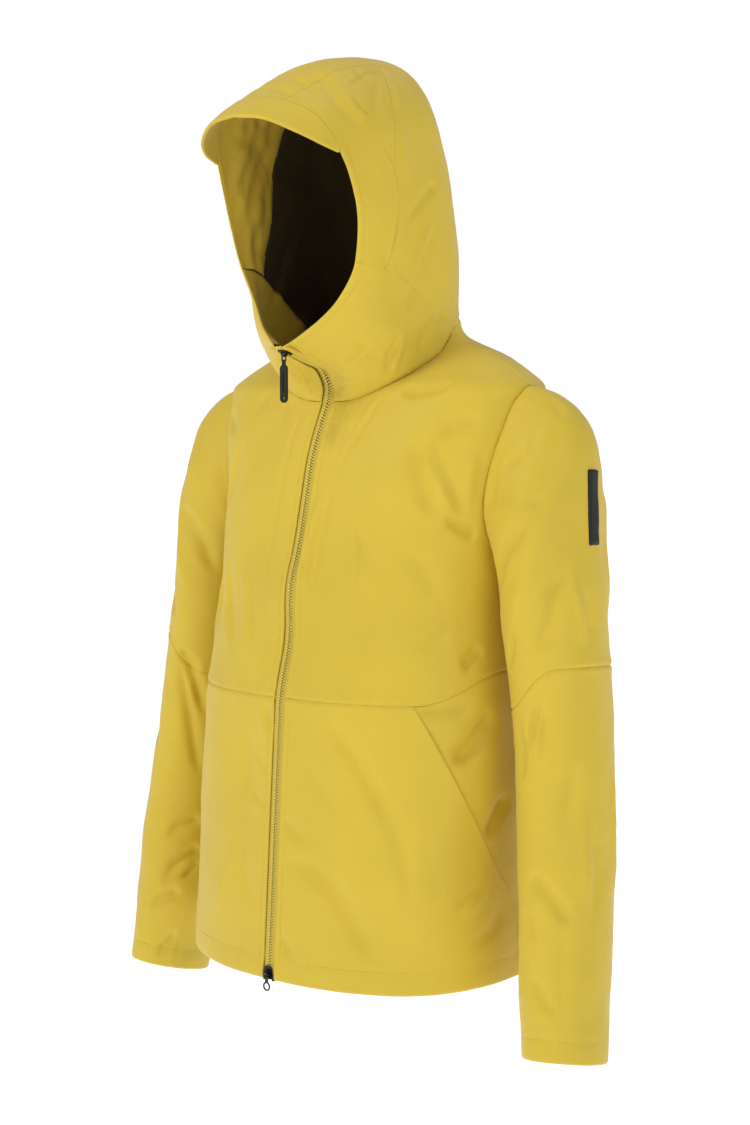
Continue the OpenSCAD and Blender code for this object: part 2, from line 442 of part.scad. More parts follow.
// ---------- sleeves ----------
NA = 18;
module sleeve_upper(k) color(YEL) sleevecloth(10,NA,function(a) 0,function(a) elb(a),0,shell_t,k,0.8);
module sleeve_upper_left() sleeve_upper(1);
module sleeve_upper_right() sleeve_upper(-1);
EG = 0.0022;
module sleeve_lower(k) color(YEL) sleevecloth(7,NA,function(a) elb(a)+EG,function(a) 1,0,shell_t,k);
module sleeve_lower_left() sleeve_lower(1);
module sleeve_lower_right() sleeve_lower(-1);
CF0 = 1-cuff_facing_depth/640;
module cuff_facing(k) color(YEL2) sleevecloth(1,NA,function(a) CF0,function(a) 0.998,1.9,1.9+shell_t,k);
module cuff_facing_left() cuff_facing(1);
module cuff_facing_right() cuff_facing(-1);
module sl_upper(k) color(DRK) sleevecloth(7,16,function(a) 0.022,function(a) elb(a)-0.004,3.6,3.6+lining_t,k);
module sleeve_lining_upper_left() sl_upper(1);
module sleeve_lining_upper_right() sl_upper(-1);
module sl_lower(k) color(DRK) sleevecloth(5,16,function(a) elb(a)+0.006,function(a) CF0-0.006,3.6,3.6+lining_t,k);
module sleeve_lining_lower_left() sl_lower(1);
module sleeve_lining_lower_right() sl_lower(-1);
// rubber patch, laid on the outer face of the left upper sleeve
PCH = 9;
module sleeve_patch() color(BLK) {
  f=function(v,w,o) let(e=abs(2*v-1), c=0.86+0.14*sqrt(max(0,1-pow(max(0,(e-0.86)/0.14),2))),
    t0=0.149-patch_length/2160, t1=0.149+patch_length/2160, a=-PCH+(w-0.5)*c*patch_width/50*57.3) sleeve(a,mix(t0,t1,v),o);
  cloth(grid(10,4,function(v,w) f(v,w,-2.1)),grid(10,4,function(v,w) f(v,w,-0.65)));
}

front_upper_left();
front_upper_right();
front_lower_left();
front_lower_right();
side_panel_left();
side_panel_right();
back_yoke();
back_lower();
hem_facing();
front_lining_left();
front_lining_right();
back_lining();
pocket_bag_left();
pocket_bag_right();
storm_flap();
collar_left();
collar_right();
collar_facing_left();
collar_facing_right();
hang_loop();
zip_tape_left();
zip_tape_right();
zip_teeth_left();
zip_teeth_right();
zip_box();
zip_pin();
zip_stop_left();
zip_stop_right();
slider_top();
pull_top();
slider_bottom();
pull_bottom();
hood_side_left();
hood_side_right();
hood_band_left();
hood_band_right();
hood_center();
hood_facing();
hood_lining();
brim_top();
brim_core_sheet();
brim_under();
sleeve_upper_left();
sleeve_upper_right();
sleeve_lower_left();
sleeve_lower_right();
cuff_facing_left();
cuff_facing_right();
sleeve_lining_upper_left();
sleeve_lining_upper_right();
sleeve_lining_lower_left();
sleeve_lining_lower_right();
sleeve_patch();
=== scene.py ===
import bpy
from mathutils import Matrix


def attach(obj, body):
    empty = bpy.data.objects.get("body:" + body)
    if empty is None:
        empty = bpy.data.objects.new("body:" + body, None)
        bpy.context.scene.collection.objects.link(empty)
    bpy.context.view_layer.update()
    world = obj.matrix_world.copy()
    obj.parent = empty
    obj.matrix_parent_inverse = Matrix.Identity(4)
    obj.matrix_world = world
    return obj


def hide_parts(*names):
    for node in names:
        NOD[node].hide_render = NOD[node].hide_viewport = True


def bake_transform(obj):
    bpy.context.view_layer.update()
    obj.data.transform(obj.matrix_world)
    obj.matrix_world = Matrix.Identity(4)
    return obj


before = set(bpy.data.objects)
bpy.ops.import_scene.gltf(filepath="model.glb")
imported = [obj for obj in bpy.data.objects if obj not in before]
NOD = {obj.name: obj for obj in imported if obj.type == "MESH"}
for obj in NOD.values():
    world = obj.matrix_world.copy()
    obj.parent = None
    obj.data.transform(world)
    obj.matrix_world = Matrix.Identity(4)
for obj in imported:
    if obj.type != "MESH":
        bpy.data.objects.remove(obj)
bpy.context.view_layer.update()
import bpy
import numpy as np
from math import pi, sin, cos, radians

# ------------------------------------------------------------------ surfaces
# mm, tailor's frame: x=0 centre, +X wearer's left, -Y front, z=0 shoulder tip
def tab(T): return np.array(T, float)
def _tang(T, i):
    a = np.clip(i-1, 0, len(T)-1); b = np.clip(i+1, 0, len(T)-1)
    return (T[b]-T[a])/((T[b, 0]-T[a, 0])[:, None])
def herm(T, x):
    T = np.asarray(T, float); x = np.asarray(x, float); sh = x.shape; q = np.clip(x.ravel(), T[0, 0], T[-1, 0])
    i = np.clip(np.searchsorted(T[:, 0], q, side='right')-1, 0, len(T)-2)
    h = (T[i+1, 0]-T[i, 0]); t = ((q-T[i, 0])/h)[:, None]; h = h[:, None]
    r = (2*t**3-3*t**2+1)*T[i]+(t**3-2*t**2+t)*h*_tang(T, i)+(3*t**2-2*t**3)*T[i+1]+(t**3-t**2)*h*_tang(T, i+1)
    return r.reshape(sh+(T.shape[1],))
def sm(x):
    t = np.clip(x, 0, 1); return t*t*(3-2*t)
def unit(v): return v/np.maximum(np.linalg.norm(v, axis=-1, keepdims=True), 1e-9)
def mix(a, b, t): return a+(b-a)*t
HEM = -615.
def cfy(z): return -177+0.0658*(z+615)
BODY = tab([
 [-640,197,cfy(-640),-22,117],[-615,197,cfy(-615),-22,117],[-520,196,cfy(-520),-20,115],[-420,195,cfy(-420),-16,113],
 [-340,193,cfy(-340),-12,115],[-311,191,-157,-10,117],[-210,184,-138,-3,124],[-160,184,-128,0,127],[-110,188.5,-119,2,129],
 [-68,197,-107,4,126],[-30,203,-93,6,121],[-2,203,-80,8,114],[15,204,-71,10,117],[30,183,-50,13,115],[50,148,-14,16,108],
 [66,104,4,20,89],[77,89,10,23,84],[85,86,14,28,78],[92,82,20,34,72],[96,81,24,36,70]])
PW = 0.851
def body0(u, z):
    u, z = np.broadcast_arrays(np.asarray(u, float), np.asarray(z, float)); r = herm(BODY, z)
    s = np.sin(np.radians(u)); c = np.cos(np.radians(u)); k = np.abs(c)**PW
    return np.stack([np.sign(s)*r[..., 1]*np.abs(s)**PW, r[..., 3]+np.where(c > 0, r[..., 2]-r[..., 3], r[..., 4]-r[..., 3])*k, z], -1)
def body_n(u, z): return unit(np.cross(body0(u+1.5, z)-body0(u-1.5, z), body0(u, z+2)-body0(u, z-2)))
def u_at(x, z): return np.degrees(np.arcsin(np.clip(x/herm(BODY, z)[..., 1], 0, 1)**(1/PW)))
EDGE = 7.6
def zip_u(z): return u_at(EDGE, z)
def waist(u): return -315+30*sm((u-48)/42)
def side_u(z): return 90+10*sm((-160-z)/130)
ARM_Z = -72.5; ARM_H = 87.5; ARM_F = 19; ARM_B = 22
def arm_uz(a):
    a = np.asarray(a, float); s = np.sin(np.radians(a)); c = np.cos(np.radians(a))
    return np.stack([90-np.where(s > 0, ARM_F, ARM_B)*s, ARM_Z+ARM_H*c], -1)
NECK = tab([[0,0,-2],[1,8.5,1.5],[2,22,23],[3,44,56],[4,90,77],[5,108,89],[6,128,92],[7,154,92],[8,180,92]])
def neck_uz(s): return herm(NECK, np.asarray(s, float)*8)[..., 1:]
S_ZIP = 0.022
def st(u, z):
    u, z = np.broadcast_arrays(np.asarray(u, float), np.asarray(z, float)); return np.stack([u, z], -1)
def coons(v, w, B, T, L, R):
    v, w = np.broadcast_arrays(np.asarray(v, float), np.asarray(w, float)); V = v[..., None]; W = w[..., None]; z = np.zeros_like(v); o = z+1
    return (1-V)*B(w)+V*T(w)+(1-W)*L(v)+W*R(v)-((1-V)*(1-W)*B(z)+(1-V)*W*B(o)+V*(1-W)*T(z)+V*W*T(o))
def wh(c, a, b): return np.where(c[..., None], a, b)
FU_G = tab([[0,-315],[0.35,-166],[0.8,-26],[1,-2]])
def fu_B(w):
    u = mix(zip_u(-315.), 100, w); return st(u, waist(u))
def fu_T(w): return neck_uz(mix(S_ZIP, 0.5, w))
def fu_L(v):
    z = np.interp(v, FU_G[:, 0], FU_G[:, 1]); return st(zip_u(z), z)
def fu_R(v):
    z = mix(waist(100.), -160, v/0.35)
    return wh(v < 0.35, st(side_u(z), z), wh(v < 0.8, arm_uz(180-180*(v-0.35)/0.45), st(90, mix(15, 77, (v-0.8)/0.2))))
def fu(v, w): return coons(v, w, fu_B, fu_T, fu_L, fu_R)
PK = tab([[0,48,-315],[0.5,72,-423],[1,94,-526]])
def pocket(t): return herm(PK, t)[..., 1:]
def fl_R(v): return wh(v < 0.25, st(100-v*24, mix(HEM, -526, v/0.25)), pocket(1-(v-0.25)/0.75))
def fl_L(v):
    z = mix(HEM, -315, v); return st(zip_u(z), z)
def fl(v, w):
    def T(w):
        u = mix(zip_u(-315.), 48, w); return st(u, waist(u))
    return coons(v, w, lambda w: st(mix(zip_u(HEM), 100, w), HEM), T, fl_L, fl_R)
def sp_L(v):
    v = np.asarray(v, float); r = np.clip((v-.2)/.8, 0, 1); q = np.clip(v/.2, 0, 1)
    return wh(v < .2, st(mix(98.6, 93, q), mix(-608, -528, q)), pocket(1-r)-np.stack([6*sm(r*8)+1, 2+0*v], -1))
def sp_R(v): return st(100, mix(-608, waist(100.), v))
def sp(v, w):
    v, w = np.broadcast_arrays(np.asarray(v, float), np.asarray(w, float)); q = mix(sp_L(v), sp_R(v), w[..., None])
    top = mix(sp_L(1.), sp_R(1.), w[..., None]); c = waist(top[..., 0])-top[..., 1]
    return st(q[..., 0], q[..., 1]+c*sm((v-.6)/.4))
A115 = arm_uz(-115.)
def bk_T(w): return neck_uz(mix(0.5, 1, w))
def ykl(w): w = np.asarray(w, float)[..., None]; return A115+(np.array([180., -120.])-A115)*w
def yoke(v, w): return coons(v, w, ykl, bk_T, lambda v: wh(v < 0.7, arm_uz(-115*(1-v/0.7)), st(90, mix(15, 77, (v-0.7)/0.3))), lambda v: st(180, mix(-120, 92, v)))
def bl(v, w): return coons(v, w, lambda w: st(mix(100, 180, w), HEM), ykl,
   lambda v: wh(v < 0.75, st(side_u(mix(HEM, -160, v/0.75)), mix(HEM, -160, v/0.75)), arm_uz(-180+65*(v-0.75)/0.25)), lambda v: st(180, mix(HEM, -120, v)))
ARMT = tab([[0.00,210,8,-60,64,52],[0.20,236,7,-188,68,50],[0.30,243,5,-240,67,49],[0.42,253,1,-313,64,47],[0.60,266,-10,-420,60,47],[0.80,280,-27,-556,56,44],[1.00,289,-42,-676,51,40]])
CAP = 0.2
def ring0(a, t):
    a, t = np.broadcast_arrays(np.asarray(a, float), np.asarray(t, float)); r = herm(ARMT, t); e = .004
    d = unit(herm(ARMT, t+e)[..., 1:4]-herm(ARMT, t-e)[..., 1:4]); ex = np.array([1., 0, 0]); L = unit(ex-d*d[..., :1]); F = np.cross(d, L)
    ar = np.radians(a)
    return r[..., 1:4]+L*(r[..., 5]*np.cos(ar))[..., None]+F*(r[..., 4]*np.sin(ar))[..., None]+np.array([0, 0, 1.])*(0.09*r[..., 4]*np.sin(ar)*sm((t-0.7)/0.3))[..., None]
def cap_dir(a):
    a = np.radians(a); return unit(np.stack([0.62+0.34*np.cos(a), 0.08-0.40*np.sin(a), -0.56+0.38*np.cos(a)], -1))
def sleeve0(a, t):
    a, t = np.broadcast_arrays(np.asarray(a, float), np.asarray(t, float))
    uz = arm_uz(a); A = body0(uz[..., 0], uz[..., 1]); c = np.full_like(t, CAP); R = ring0(a, c); f = (np.clip(t/CAP, 0, 1))[..., None]
    Ln = np.linalg.norm(R-A, axis=-1, keepdims=True); N = unit(ring0(a, c+0.01)-R)
    cc = (0.06*np.cos(np.radians(a))-0.04*np.sin(np.radians(a)))[..., None]; P = A+cap_dir(a)*Ln*(0.41+cc); Q = R-N*Ln*(0.42+cc)
    bz = (1-f)**3*A+3*f*(1-f)**2*P+3*f*f*(1-f)*Q+f**3*R
    return wh(t >= CAP, ring0(a, t), bz)
def sleeve_n(a, t): return unit(np.cross(sleeve0(a+3, t)-sleeve0(a-3, t), sleeve0(a, np.minimum(1, t+0.012))-sleeve0(a, np.maximum(0, t-0.012))))
def elb(a):
    q = np.mod(a, 360.); return 0.365+0.065*np.where(q < 180, sm((q-48)/80), 1-sm((q-215)/80))
HOOD = np.array([
 [[0,-80,-2],[0,-78,14],[0,-88,31],[0,-105.5,36.5],[0,-123,42],[0,-140.5,47.5],[0,-158,53]],
 [[41,-85,2],[44,-90,17],[46,-102,32],[45,-115,46],[41,-128,57],[36,-138,65],[29,-147,71]],
 [[80,-56,23],[86,-70,42],[87,-84,60],[84,-98,76],[78,-111,89],[70,-122,98],[60,-132,103]],
 [[90,2,56],[98,-14,80],[101,-32,100],[100,-54,117],[96,-80,130],[90,-104,138],[82,-128,141]],
 [[89,23,77],[96,18,114],[99,4,148],[98,-22,176],[97,-58,190],[95,-98,195],[92,-137,196]],
 [[78,42,88],[86,38,138],[88,22,200],[90,-8,244],[92,-52,256],[92,-106,255],[88,-157,250]],
 [[68,58,92],[71,56,160],[72,45,230],[74,21,286],[77,-28,316],[76,-104,308],[70,-174,286]],
 [[42,68,92],[40,76,164],[40,72,242],[42,47,312],[41,4,354],[41,-98,346],[37,-188,304]],
 [[0,72,92],[0,87,166],[0,83,246],[0,56,318],[0,10,366],[0,-98,358],[0,-190,309]]], float)
MX = np.array([-1., 1, 1])
def crv(a, b, c, d, f): return 0.5*((2*b)+(c-a)*f+(2*a-5*b+4*c-d)*f*f+(3*b-a-3*c+d)*f**3)
def hk(k, j):
    kk = np.where(k < 0, -k, np.where(k > 8, 16-k, k)); v = HOOD[kk, j]; return np.where(((k < 0) | (k > 8))[..., None], v*MX, v)
def hood1(s, t):
    x = s*8; i = np.clip(np.floor(x).astype(int), 0, 7); f = (x-i)[..., None]
    C = [None]*7; uz = neck_uz(s); C[0] = body0(uz[..., 0], uz[..., 1])
    for j in range(1, 7): C[j] = crv(hk(i-1, j), hk(i, j), hk(i+1, j), hk(i+2, j), f)
    C = np.stack(C, 0); n = 6; x = np.clip(t, 0, 1)*n; i = np.clip(np.floor(x).astype(int), 0, n-1); f = (x-i)[..., None]
    idx = np.indices(i.shape)
    g = lambda k: C[(np.clip(k, 0, 6),)+tuple(idx)]
    a = np.where((i == 0)[..., None], 2*g(i)-g(i+1), g(i-1)); d = np.where((i+2 > n)[..., None], 2*g(i+1)-g(i), g(i+2))
    return crv(a, g(i), g(i+1), d, f)
def hood0(s, t):
    s, t = np.broadcast_arrays(np.asarray(s, float), np.asarray(t, float)); m = (s < 0) | (s > 1); q = np.where(s < 0, -s, np.where(s > 1, 2-s, s))
    v = hood1(q, t); return np.where(m[..., None], v*MX, v)
def hood_n(s, t): return unit(np.cross(hood0(s+.012, t)-hood0(s-.012, t), hood0(s, np.minimum(1, t+.015))-hood0(s, np.maximum(0, t-.015))))
SC = 0.375
BRIM = tab([[0,88,-158,249],[1,82,-182,257],[2,66,-204,269],[3,38,-220,282],[4,0,-226,288]])
def brim0(s, v):
    s, v = np.broadcast_arrays(np.asarray(s, float), np.asarray(v, float)); m = s > 1; q = np.where(m, 2-s, s)
    A = hood0(q, np.ones_like(q)); E = herm(BRIM, np.clip((q-.625)/.375, 0, 1)*4)[..., 1:]; V = v[..., None]
    p = A+(E-A)*V+np.array([0, 0, 3.5])*V*(1-V); return np.where(m[..., None], p*MX, p)
def brim_n(s, v):
    e = .01; return unit(np.cross(brim0(np.minimum(s+e, 1.37), v)-brim0(np.maximum(s-e, .63), v), brim0(s, np.minimum(v+.05, 1))-brim0(s, np.maximum(v-.05, 0))))

# ------------------------------------------------------------------ folds
def waves(P, L, seed, n=7, aniso=(1, 1, 1)):
    r = np.random.RandomState(seed); out = 0
    for k in range(n):
        d = unit(r.normal(size=3)*np.array(aniso, float)); f = 2*pi/(L*r.uniform(.7, 1.5))
        out = out+np.sin(P@d*f+r.uniform(0, 6.28)+1.3*np.sin(P@unit(r.normal(size=3))*f*.45+r.uniform(0, 6.28)))
    return out/np.sqrt(n)
def spline(pts, n=8):
    p = np.array(pts, float)
    if len(p) == 2: return np.array([mix(p[0], p[1], k/n) for k in range(n+1)])
    out = []
    for i in range(len(p)-1):
        a = p[max(i-1, 0)]; b = p[i]; c = p[i+1]; d = p[min(i+2, len(p)-1)]
        for k in range(n): out.append(crv(a, b, c, d, k/n))
    out.append(p[-1]); return np.array(out)
# one fold: (kind, amplitude mm, half width mm, points, fade at start, fade at end)
def prof(kind, x):
    if kind == 'r': return np.exp(-x*x)
    if kind == 'v': return -np.exp(-x*x)
    if kind == 'f': return 2.33*x*np.exp(-x*x)
    if kind == 'c': return -np.exp(-np.abs(x)*2.2)+0.55*np.exp(-((x-1.7)/1.0)**2)
    return -np.exp(-np.abs(x)*2.5)+0.45*np.exp(-((np.abs(x)-1.5)/.8)**2)
def folds(P, N, FL):
    D = np.zeros(P.shape[:-1]); sh = D.shape; p = P.reshape(-1, 3); nn = N.reshape(-1, 3); D = D.ravel()
    for kind, A, w, Q, f0, f1 in FL:
        lo = Q.min(0)-3.6*w; hi = Q.max(0)+3.6*w
        m = np.nonzero(((p > lo) & (p < hi)).all(1))[0]
        if len(m) == 0: continue
        q = p[m]; best = np.full(len(m), 1e9); sg = np.zeros(len(m)); ar = np.zeros(len(m)); acc = 0.
        seg = Q[1:]-Q[:-1]; ln = np.linalg.norm(seg, axis=1); tot = ln.sum()
        for k in range(len(seg)):
            T = seg[k]/max(ln[k], 1e-6); r = q-Q[k]; t = np.clip(r@T, 0, ln[k]); e = r-t[:, None]*T; d = np.linalg.norm(e, axis=1)
            b = d < best; best = np.where(b, d, best); ar = np.where(b, acc+t, ar)
            sd = np.sign((np.cross(T, nn[m])*e).sum(1)); sg = np.where(b, sd, sg); acc += ln[k]
        e = ar/tot; env = sm(e/max(f0, 1e-3))*sm((1-e)/max(f1, 1e-3))
        ww = w*(0.55+0.45*env)
        D[m] += A*env*prof(kind, sg*best/ww)
    return D.reshape(sh)
def uzc(pts):
    p = spline(pts); u = p[:, 0]; return body0(u, p[:, 1])
def hdc(pts):
    p = spline(pts); return hood0(p[:, 0], p[:, 1])
def slc(pts, k):
    p = spline(pts); q = sleeve0(p[:, 0], p[:, 1]); return q*(MX if k < 0 else 1)
def FB(*L): return [(k, A, w, uzc(p), f0, f1) for k, A, w, p, f0, f1 in L]
def FH(*L): return [(k, A, w, hdc(p), f0, f1) for k, A, w, p, f0, f1 in L]
def FS(side, *L): return [(k, A, w, slc(p, side), f0, f1) for k, A, w, p, f0, f1 in L]
# the closed front runs slightly wavy between waist and neck
CFW = tab([[-640,0],[-330,0],[-292,-1.5],[-262,-4.0],[-238,-2.0],[-214,3.0],[-190,4.6],[-160,0.8],[-130,-1.6],[-100,-2.0],[-60,0.5],[-20,0],[0,0],[60,0]])

# creases, points converted to surface parameters: kind, height mm, half width mm, points, fade at the start, fade at
# the end
BF = [
 ('c', 1.0, 3.5, [(18,8), (13,-33), (8,-78)], 0.15, 0.3),
 ('f', 1.7, 9, [(7,-87), (4,-150), (5,-213)], 0.4, 0.3),
 ('c', 0.6, 3, [(6,-4), (7,-33), (6,-61)], 0.2, 0.3),
 ('v', 0.8, 3, [(-7,-15), (-8,-57), (-9,-103), (-10,-168), (-8,-248), (-6,-303)], 0.05, 0.05),
 ('v', 1.5, 6, [(-22,12), (-27,-1), (-30,-24)], 0.3, 0.5),
 ('v', 1.0, 5, [(-15,9), (-14,-18), (-12,-40)], 0.2, 0.6),
 ('f', 1.3, 9, [(-39,-163), (-34,-221), (-24,-284)], 0.4, 0.4),
 ('f', 1.1, 8, [(-21,-160), (-18,-218), (-13,-282)], 0.4, 0.4),
 ('f', 1.8, 7, [(-54,-187), (-53,-227), (-53,-276)], 0.4, 0.4),
 ('f', 1.0, 7, [(16,-117), (22,-162), (20,-210)], 0.5, 0.5),
 ('v', 2.8, 6, [(22,14), (28,8), (38,12), (47,20)], 0.25, 0.35),
 ('v', 2.8, 8, [(42,-36), (52,-22), (63,-13)], 0.3, 0.4),
 ('v', 3.2, 9, [(33,-31), (39,-72), (51,-124)], 0.35, 0.3),
 ('f', 1.5, 8, [(40,-34), (44,-64), (54,-93), (65,-124)], 0.3, 0.3),
 ('v', 3.6, 6, [(53,-120), (61,-130), (71,-141)], 0.4, 0.1),
 ('r', 1.6, 7, [(61,-52), (63,-81), (67,-112)], 0.3, 0.4),
 ('v', 1.4, 8, [(51,-81), (58,-105), (65,-124)], 0.4, 0.3),
 ('c', 1.6, 3, [(83,-9), (78,-21), (76,-30)], 0.2, 0.4),
 ('c', 1.2, 3, [(78,-22), (74,-30), (72,-39)], 0.3, 0.5),
 ('v', 3.6, 7, [(78,-255), (71,-270), (69,-285)], 0.3, 0.4),
 ('v', 1.2, 10, [(37,-147), (49,-177), (60,-219)], 0.4, 0.4),
 ('f', 1.2, 9, [(63,-231), (51,-245), (43,-254)], 0.4, 0.4),
 ('v', 3.0, 8, [(50,-321), (59,-321), (74,-317)], 0.2, 0.3),
 ('v', 6.0, 10, [(84,-327), (74,-356), (63,-377)], 0.15, 0.25),
 ('v', 3.6, 7, [(90,-415), (85,-439), (80,-458)], 0.2, 0.3),
 ('v', 1.6, 9, [(29,-375), (35,-413), (43,-451), (48,-505), (53,-539)], 0.3, 0.4),
 ('v', 1.4, 9, [(89,-517), (86,-551), (70,-572)], 0.3, 0.5),
 ('f', 1.0, 9, [(67,-535), (74,-521), (81,-508)], 0.4, 0.4),
 ('v', 2.4, 9, [(14,-329), (25,-365), (35,-412), (40,-439)], 0.3, 0.3),
 ('v', 3.2, 10, [(3,-484), (15,-497), (26,-533), (36,-586)], 0.25, 0.25),
 ('v', 1.8, 7, [(2,-445), (7,-458), (9,-469)], 0.15, 0.5),
 ('v', 1.2, 9, [(6,-369), (14,-405), (21,-431)], 0.4, 0.4),
 ('v', 1.2, 8, [(-10,-345), (-10,-408), (-11,-434)], 0.4, 0.4),
 ('r', 1.6, 7, [(-14,-475), (-21,-536), (-26,-587)], 0.3, 0.4),
 ('v', 1.4, 8, [(-8,-458), (-11,-497), (-6,-544)], 0.3, 0.4),
 ('v', 2.2, 6, [(2,-563), (4,-577), (7,-590)], 0.3, 0.4),
 ('c', 0.9, 4, [(-8,-369), (-5,-386), (-2,-399)], 0.4, 0.2),
 ('c', 0.9, 4, [(-9,-413), (-5,-428), (-2,-433)], 0.4, 0.2),
 ('f', 1.2, 6, [(-6,-318), (-3,-351), (-2,-374)], 0.4, 0.4),
]
# creases for the unseen sides, invented
BF2 = [
 ('v', 2.4, 8, [(-42,-36),(-52,-22),(-63,-13)], .3, .4),
 ('v', 2.8, 9, [(-33,-31),(-39,-72),(-50,-124)], .35, .3),
 ('v', 3.0, 6, [(-54,-118),(-62,-130),(-71,-141)], .4, .1),
 ('v', 5.0, 10, [(-84,-330),(-75,-358),(-63,-380)], .15, .25),
 ('v', 3.0, 7, [(-90,-418),(-85,-441),(-80,-460)], .2, .3),
 ('v', 2.6, 9, [(128,-60),(136,-110),(150,-160)], .3, .4),
 ('v', 2.6, 9, [(-126,-66),(-137,-118),(-148,-150)], .3, .4),
 ('f', 2.0, 12, [(140,-10),(160,-60),(172,-130)], .4, .4),
 ('f', 2.0, 12, [(-138,-4),(-158,-56),(-170,-140)], .4, .4),
 ('v', 2.8, 12, [(112,-300),(140,-330),(176,-342)], .3, .4),
 ('v', 2.4, 11, [(-114,-310),(-142,-346),(-174,-362)], .3, .4),
 ('v', 2.2, 10, [(118,-420),(146,-400),(170,-396)], .3, .4),
 ('v', 2.6, 11, [(-122,-470),(-148,-440),(-172,-430)], .3, .4),
 ('f', 2.2, 13, [(150,-350),(152,-450),(140,-560)], .3, .4),
 ('f', 2.0, 12, [(-146,-380),(-150,-480),(-158,-570)], .3, .4),
 ('v', 2.4, 8, [(104,-180),(110,-240),(118,-290)], .3, .4),
 ('v', 2.4, 8, [(-104,-170),(-112,-236),(-120,-300)], .3, .4),
 ('v', 2.0, 7, [(170,78),(150,66),(128,62)], .3, .4),
 ('v', 1.8, 7, [(-168,72),(-150,60),(-130,54)], .3, .4),
 ('v', 1.8, 9, [(172,-200),(176,-260),(170,-310)], .4, .4),
]
HF = [
 ('c', 1.0, 2.6, [(0.84,0.75), (0.83,0.8), (0.8,0.867), (0.79,0.892)], 0.2, 0.3),
 ('c', 1.5, 3.2, [(0.78,0.867), (0.74,0.867), (0.71,0.842)], 0.3, 0.1),
 ('v', 0.9, 4, [(0.81,0.775), (0.77,0.792), (0.71,0.833)], 0.3, 0.2),
 ('c', 0.9, 2.6, [(0.66,0.825), (0.6,0.758), (0.54,0.742), (0.48,0.75), (0.39,0.75)], 0.15, 0.25),
 ('r', 0.9, 6, [(0.82,0.725), (0.69,0.717), (0.61,0.692), (0.56,0.642)], 0.3, 0.3),
 ('v', 2.0, 4.5, [(0.6,0.483), (0.53,0.625), (0.48,0.7)], 0.15, 0.4),
 ('f', 1.9, 7, [(0.53,0.508), (0.45,0.542), (0.36,0.508), (0.31,0.392)], 0.3, 0.3),
 ('v', 2.0, 3.5, [(0.22,0.467), (0.18,0.425), (0.13,0.392)], 0.3, 0.3),
 ('v', 1.8, 5, [(0.44,0.125), (0.37,0.208), (0.33,0.167), (0.3,0.083)], 0.1, 0.3),
 ('v', 1.7, 7, [(0.93,0.892), (0.84,0.908), (0.74,0.917), (0.67,0.867)], 0.2, 0.3),
 ('v', 2.0, 5, [(0.97,0.925), (0.88,0.933), (0.81,0.942)], 0.2, 0.4),
 ('v', 1.6, 5, [(1.0,0.958), (0.89,0.975), (0.83,0.983)], 0.2, 0.4),
 ('v', 1.2, 5, [(0.43,0.817), (0.37,0.742), (0.32,0.708)], 0.3, 0.4),
 ('v', 1.5, 4, [(0.23,0.3), (0.18,0.317), (0.15,0.267)], 0.2, 0.4),
 ('f', 1.2, 5, [(0.22,0.067), (0.26,0.217), (0.31,0.392)], 0.2, 0.4),
 ('f', 1.3, 4, [(0.87,0.817), (0.83,0.825), (0.8,0.8)], 0.3, 0.3),
 ('c', 1.0, 2.6, [(0.08,0.367), (0.14,0.292), (0.18,0.242)], 0.1, 0.4),
 ('c', 1.1, 2.6, [(0.07,0.275), (0.13,0.217), (0.18,0.175)], 0.1, 0.4),
 ('c', 0.9, 2.4, [(0.04,0.167), (0.09,0.15), (0.1,0.075)], 0.1, 0.4),
 ('f', 1.4, 5, [(0.23,0.142), (0.25,0.208), (0.28,0.25)], 0.2, 0.4),
]
HF2 = [
 ('c', 1.0, 2.6, [(-0.09,0.358), (-0.08,0.283), (-0.04,0.242)], 0.2, 0.2),
 ('c', 0.8, 2.6, [(-0.09,0.225), (-0.08,0.192), (-0.05,0.183)], 0.2, 0.2),
 ('v', 2.0, 9, [(1.5,.10),(1.3,.14),(1.05,.12),(.8,.16)], .3, .3),
 ('v', 1.8, 8, [(.98,.22),(.86,.34),(.74,.36)], .3, .4),
 ('f', 1.6, 9, [(1.02,.3),(1.1,.5),(1.06,.66)], .4, .4),
 ('v', 1.5, 8, [(.9,.42),(1.0,.5),(1.14,.52)], .3, .3),
]
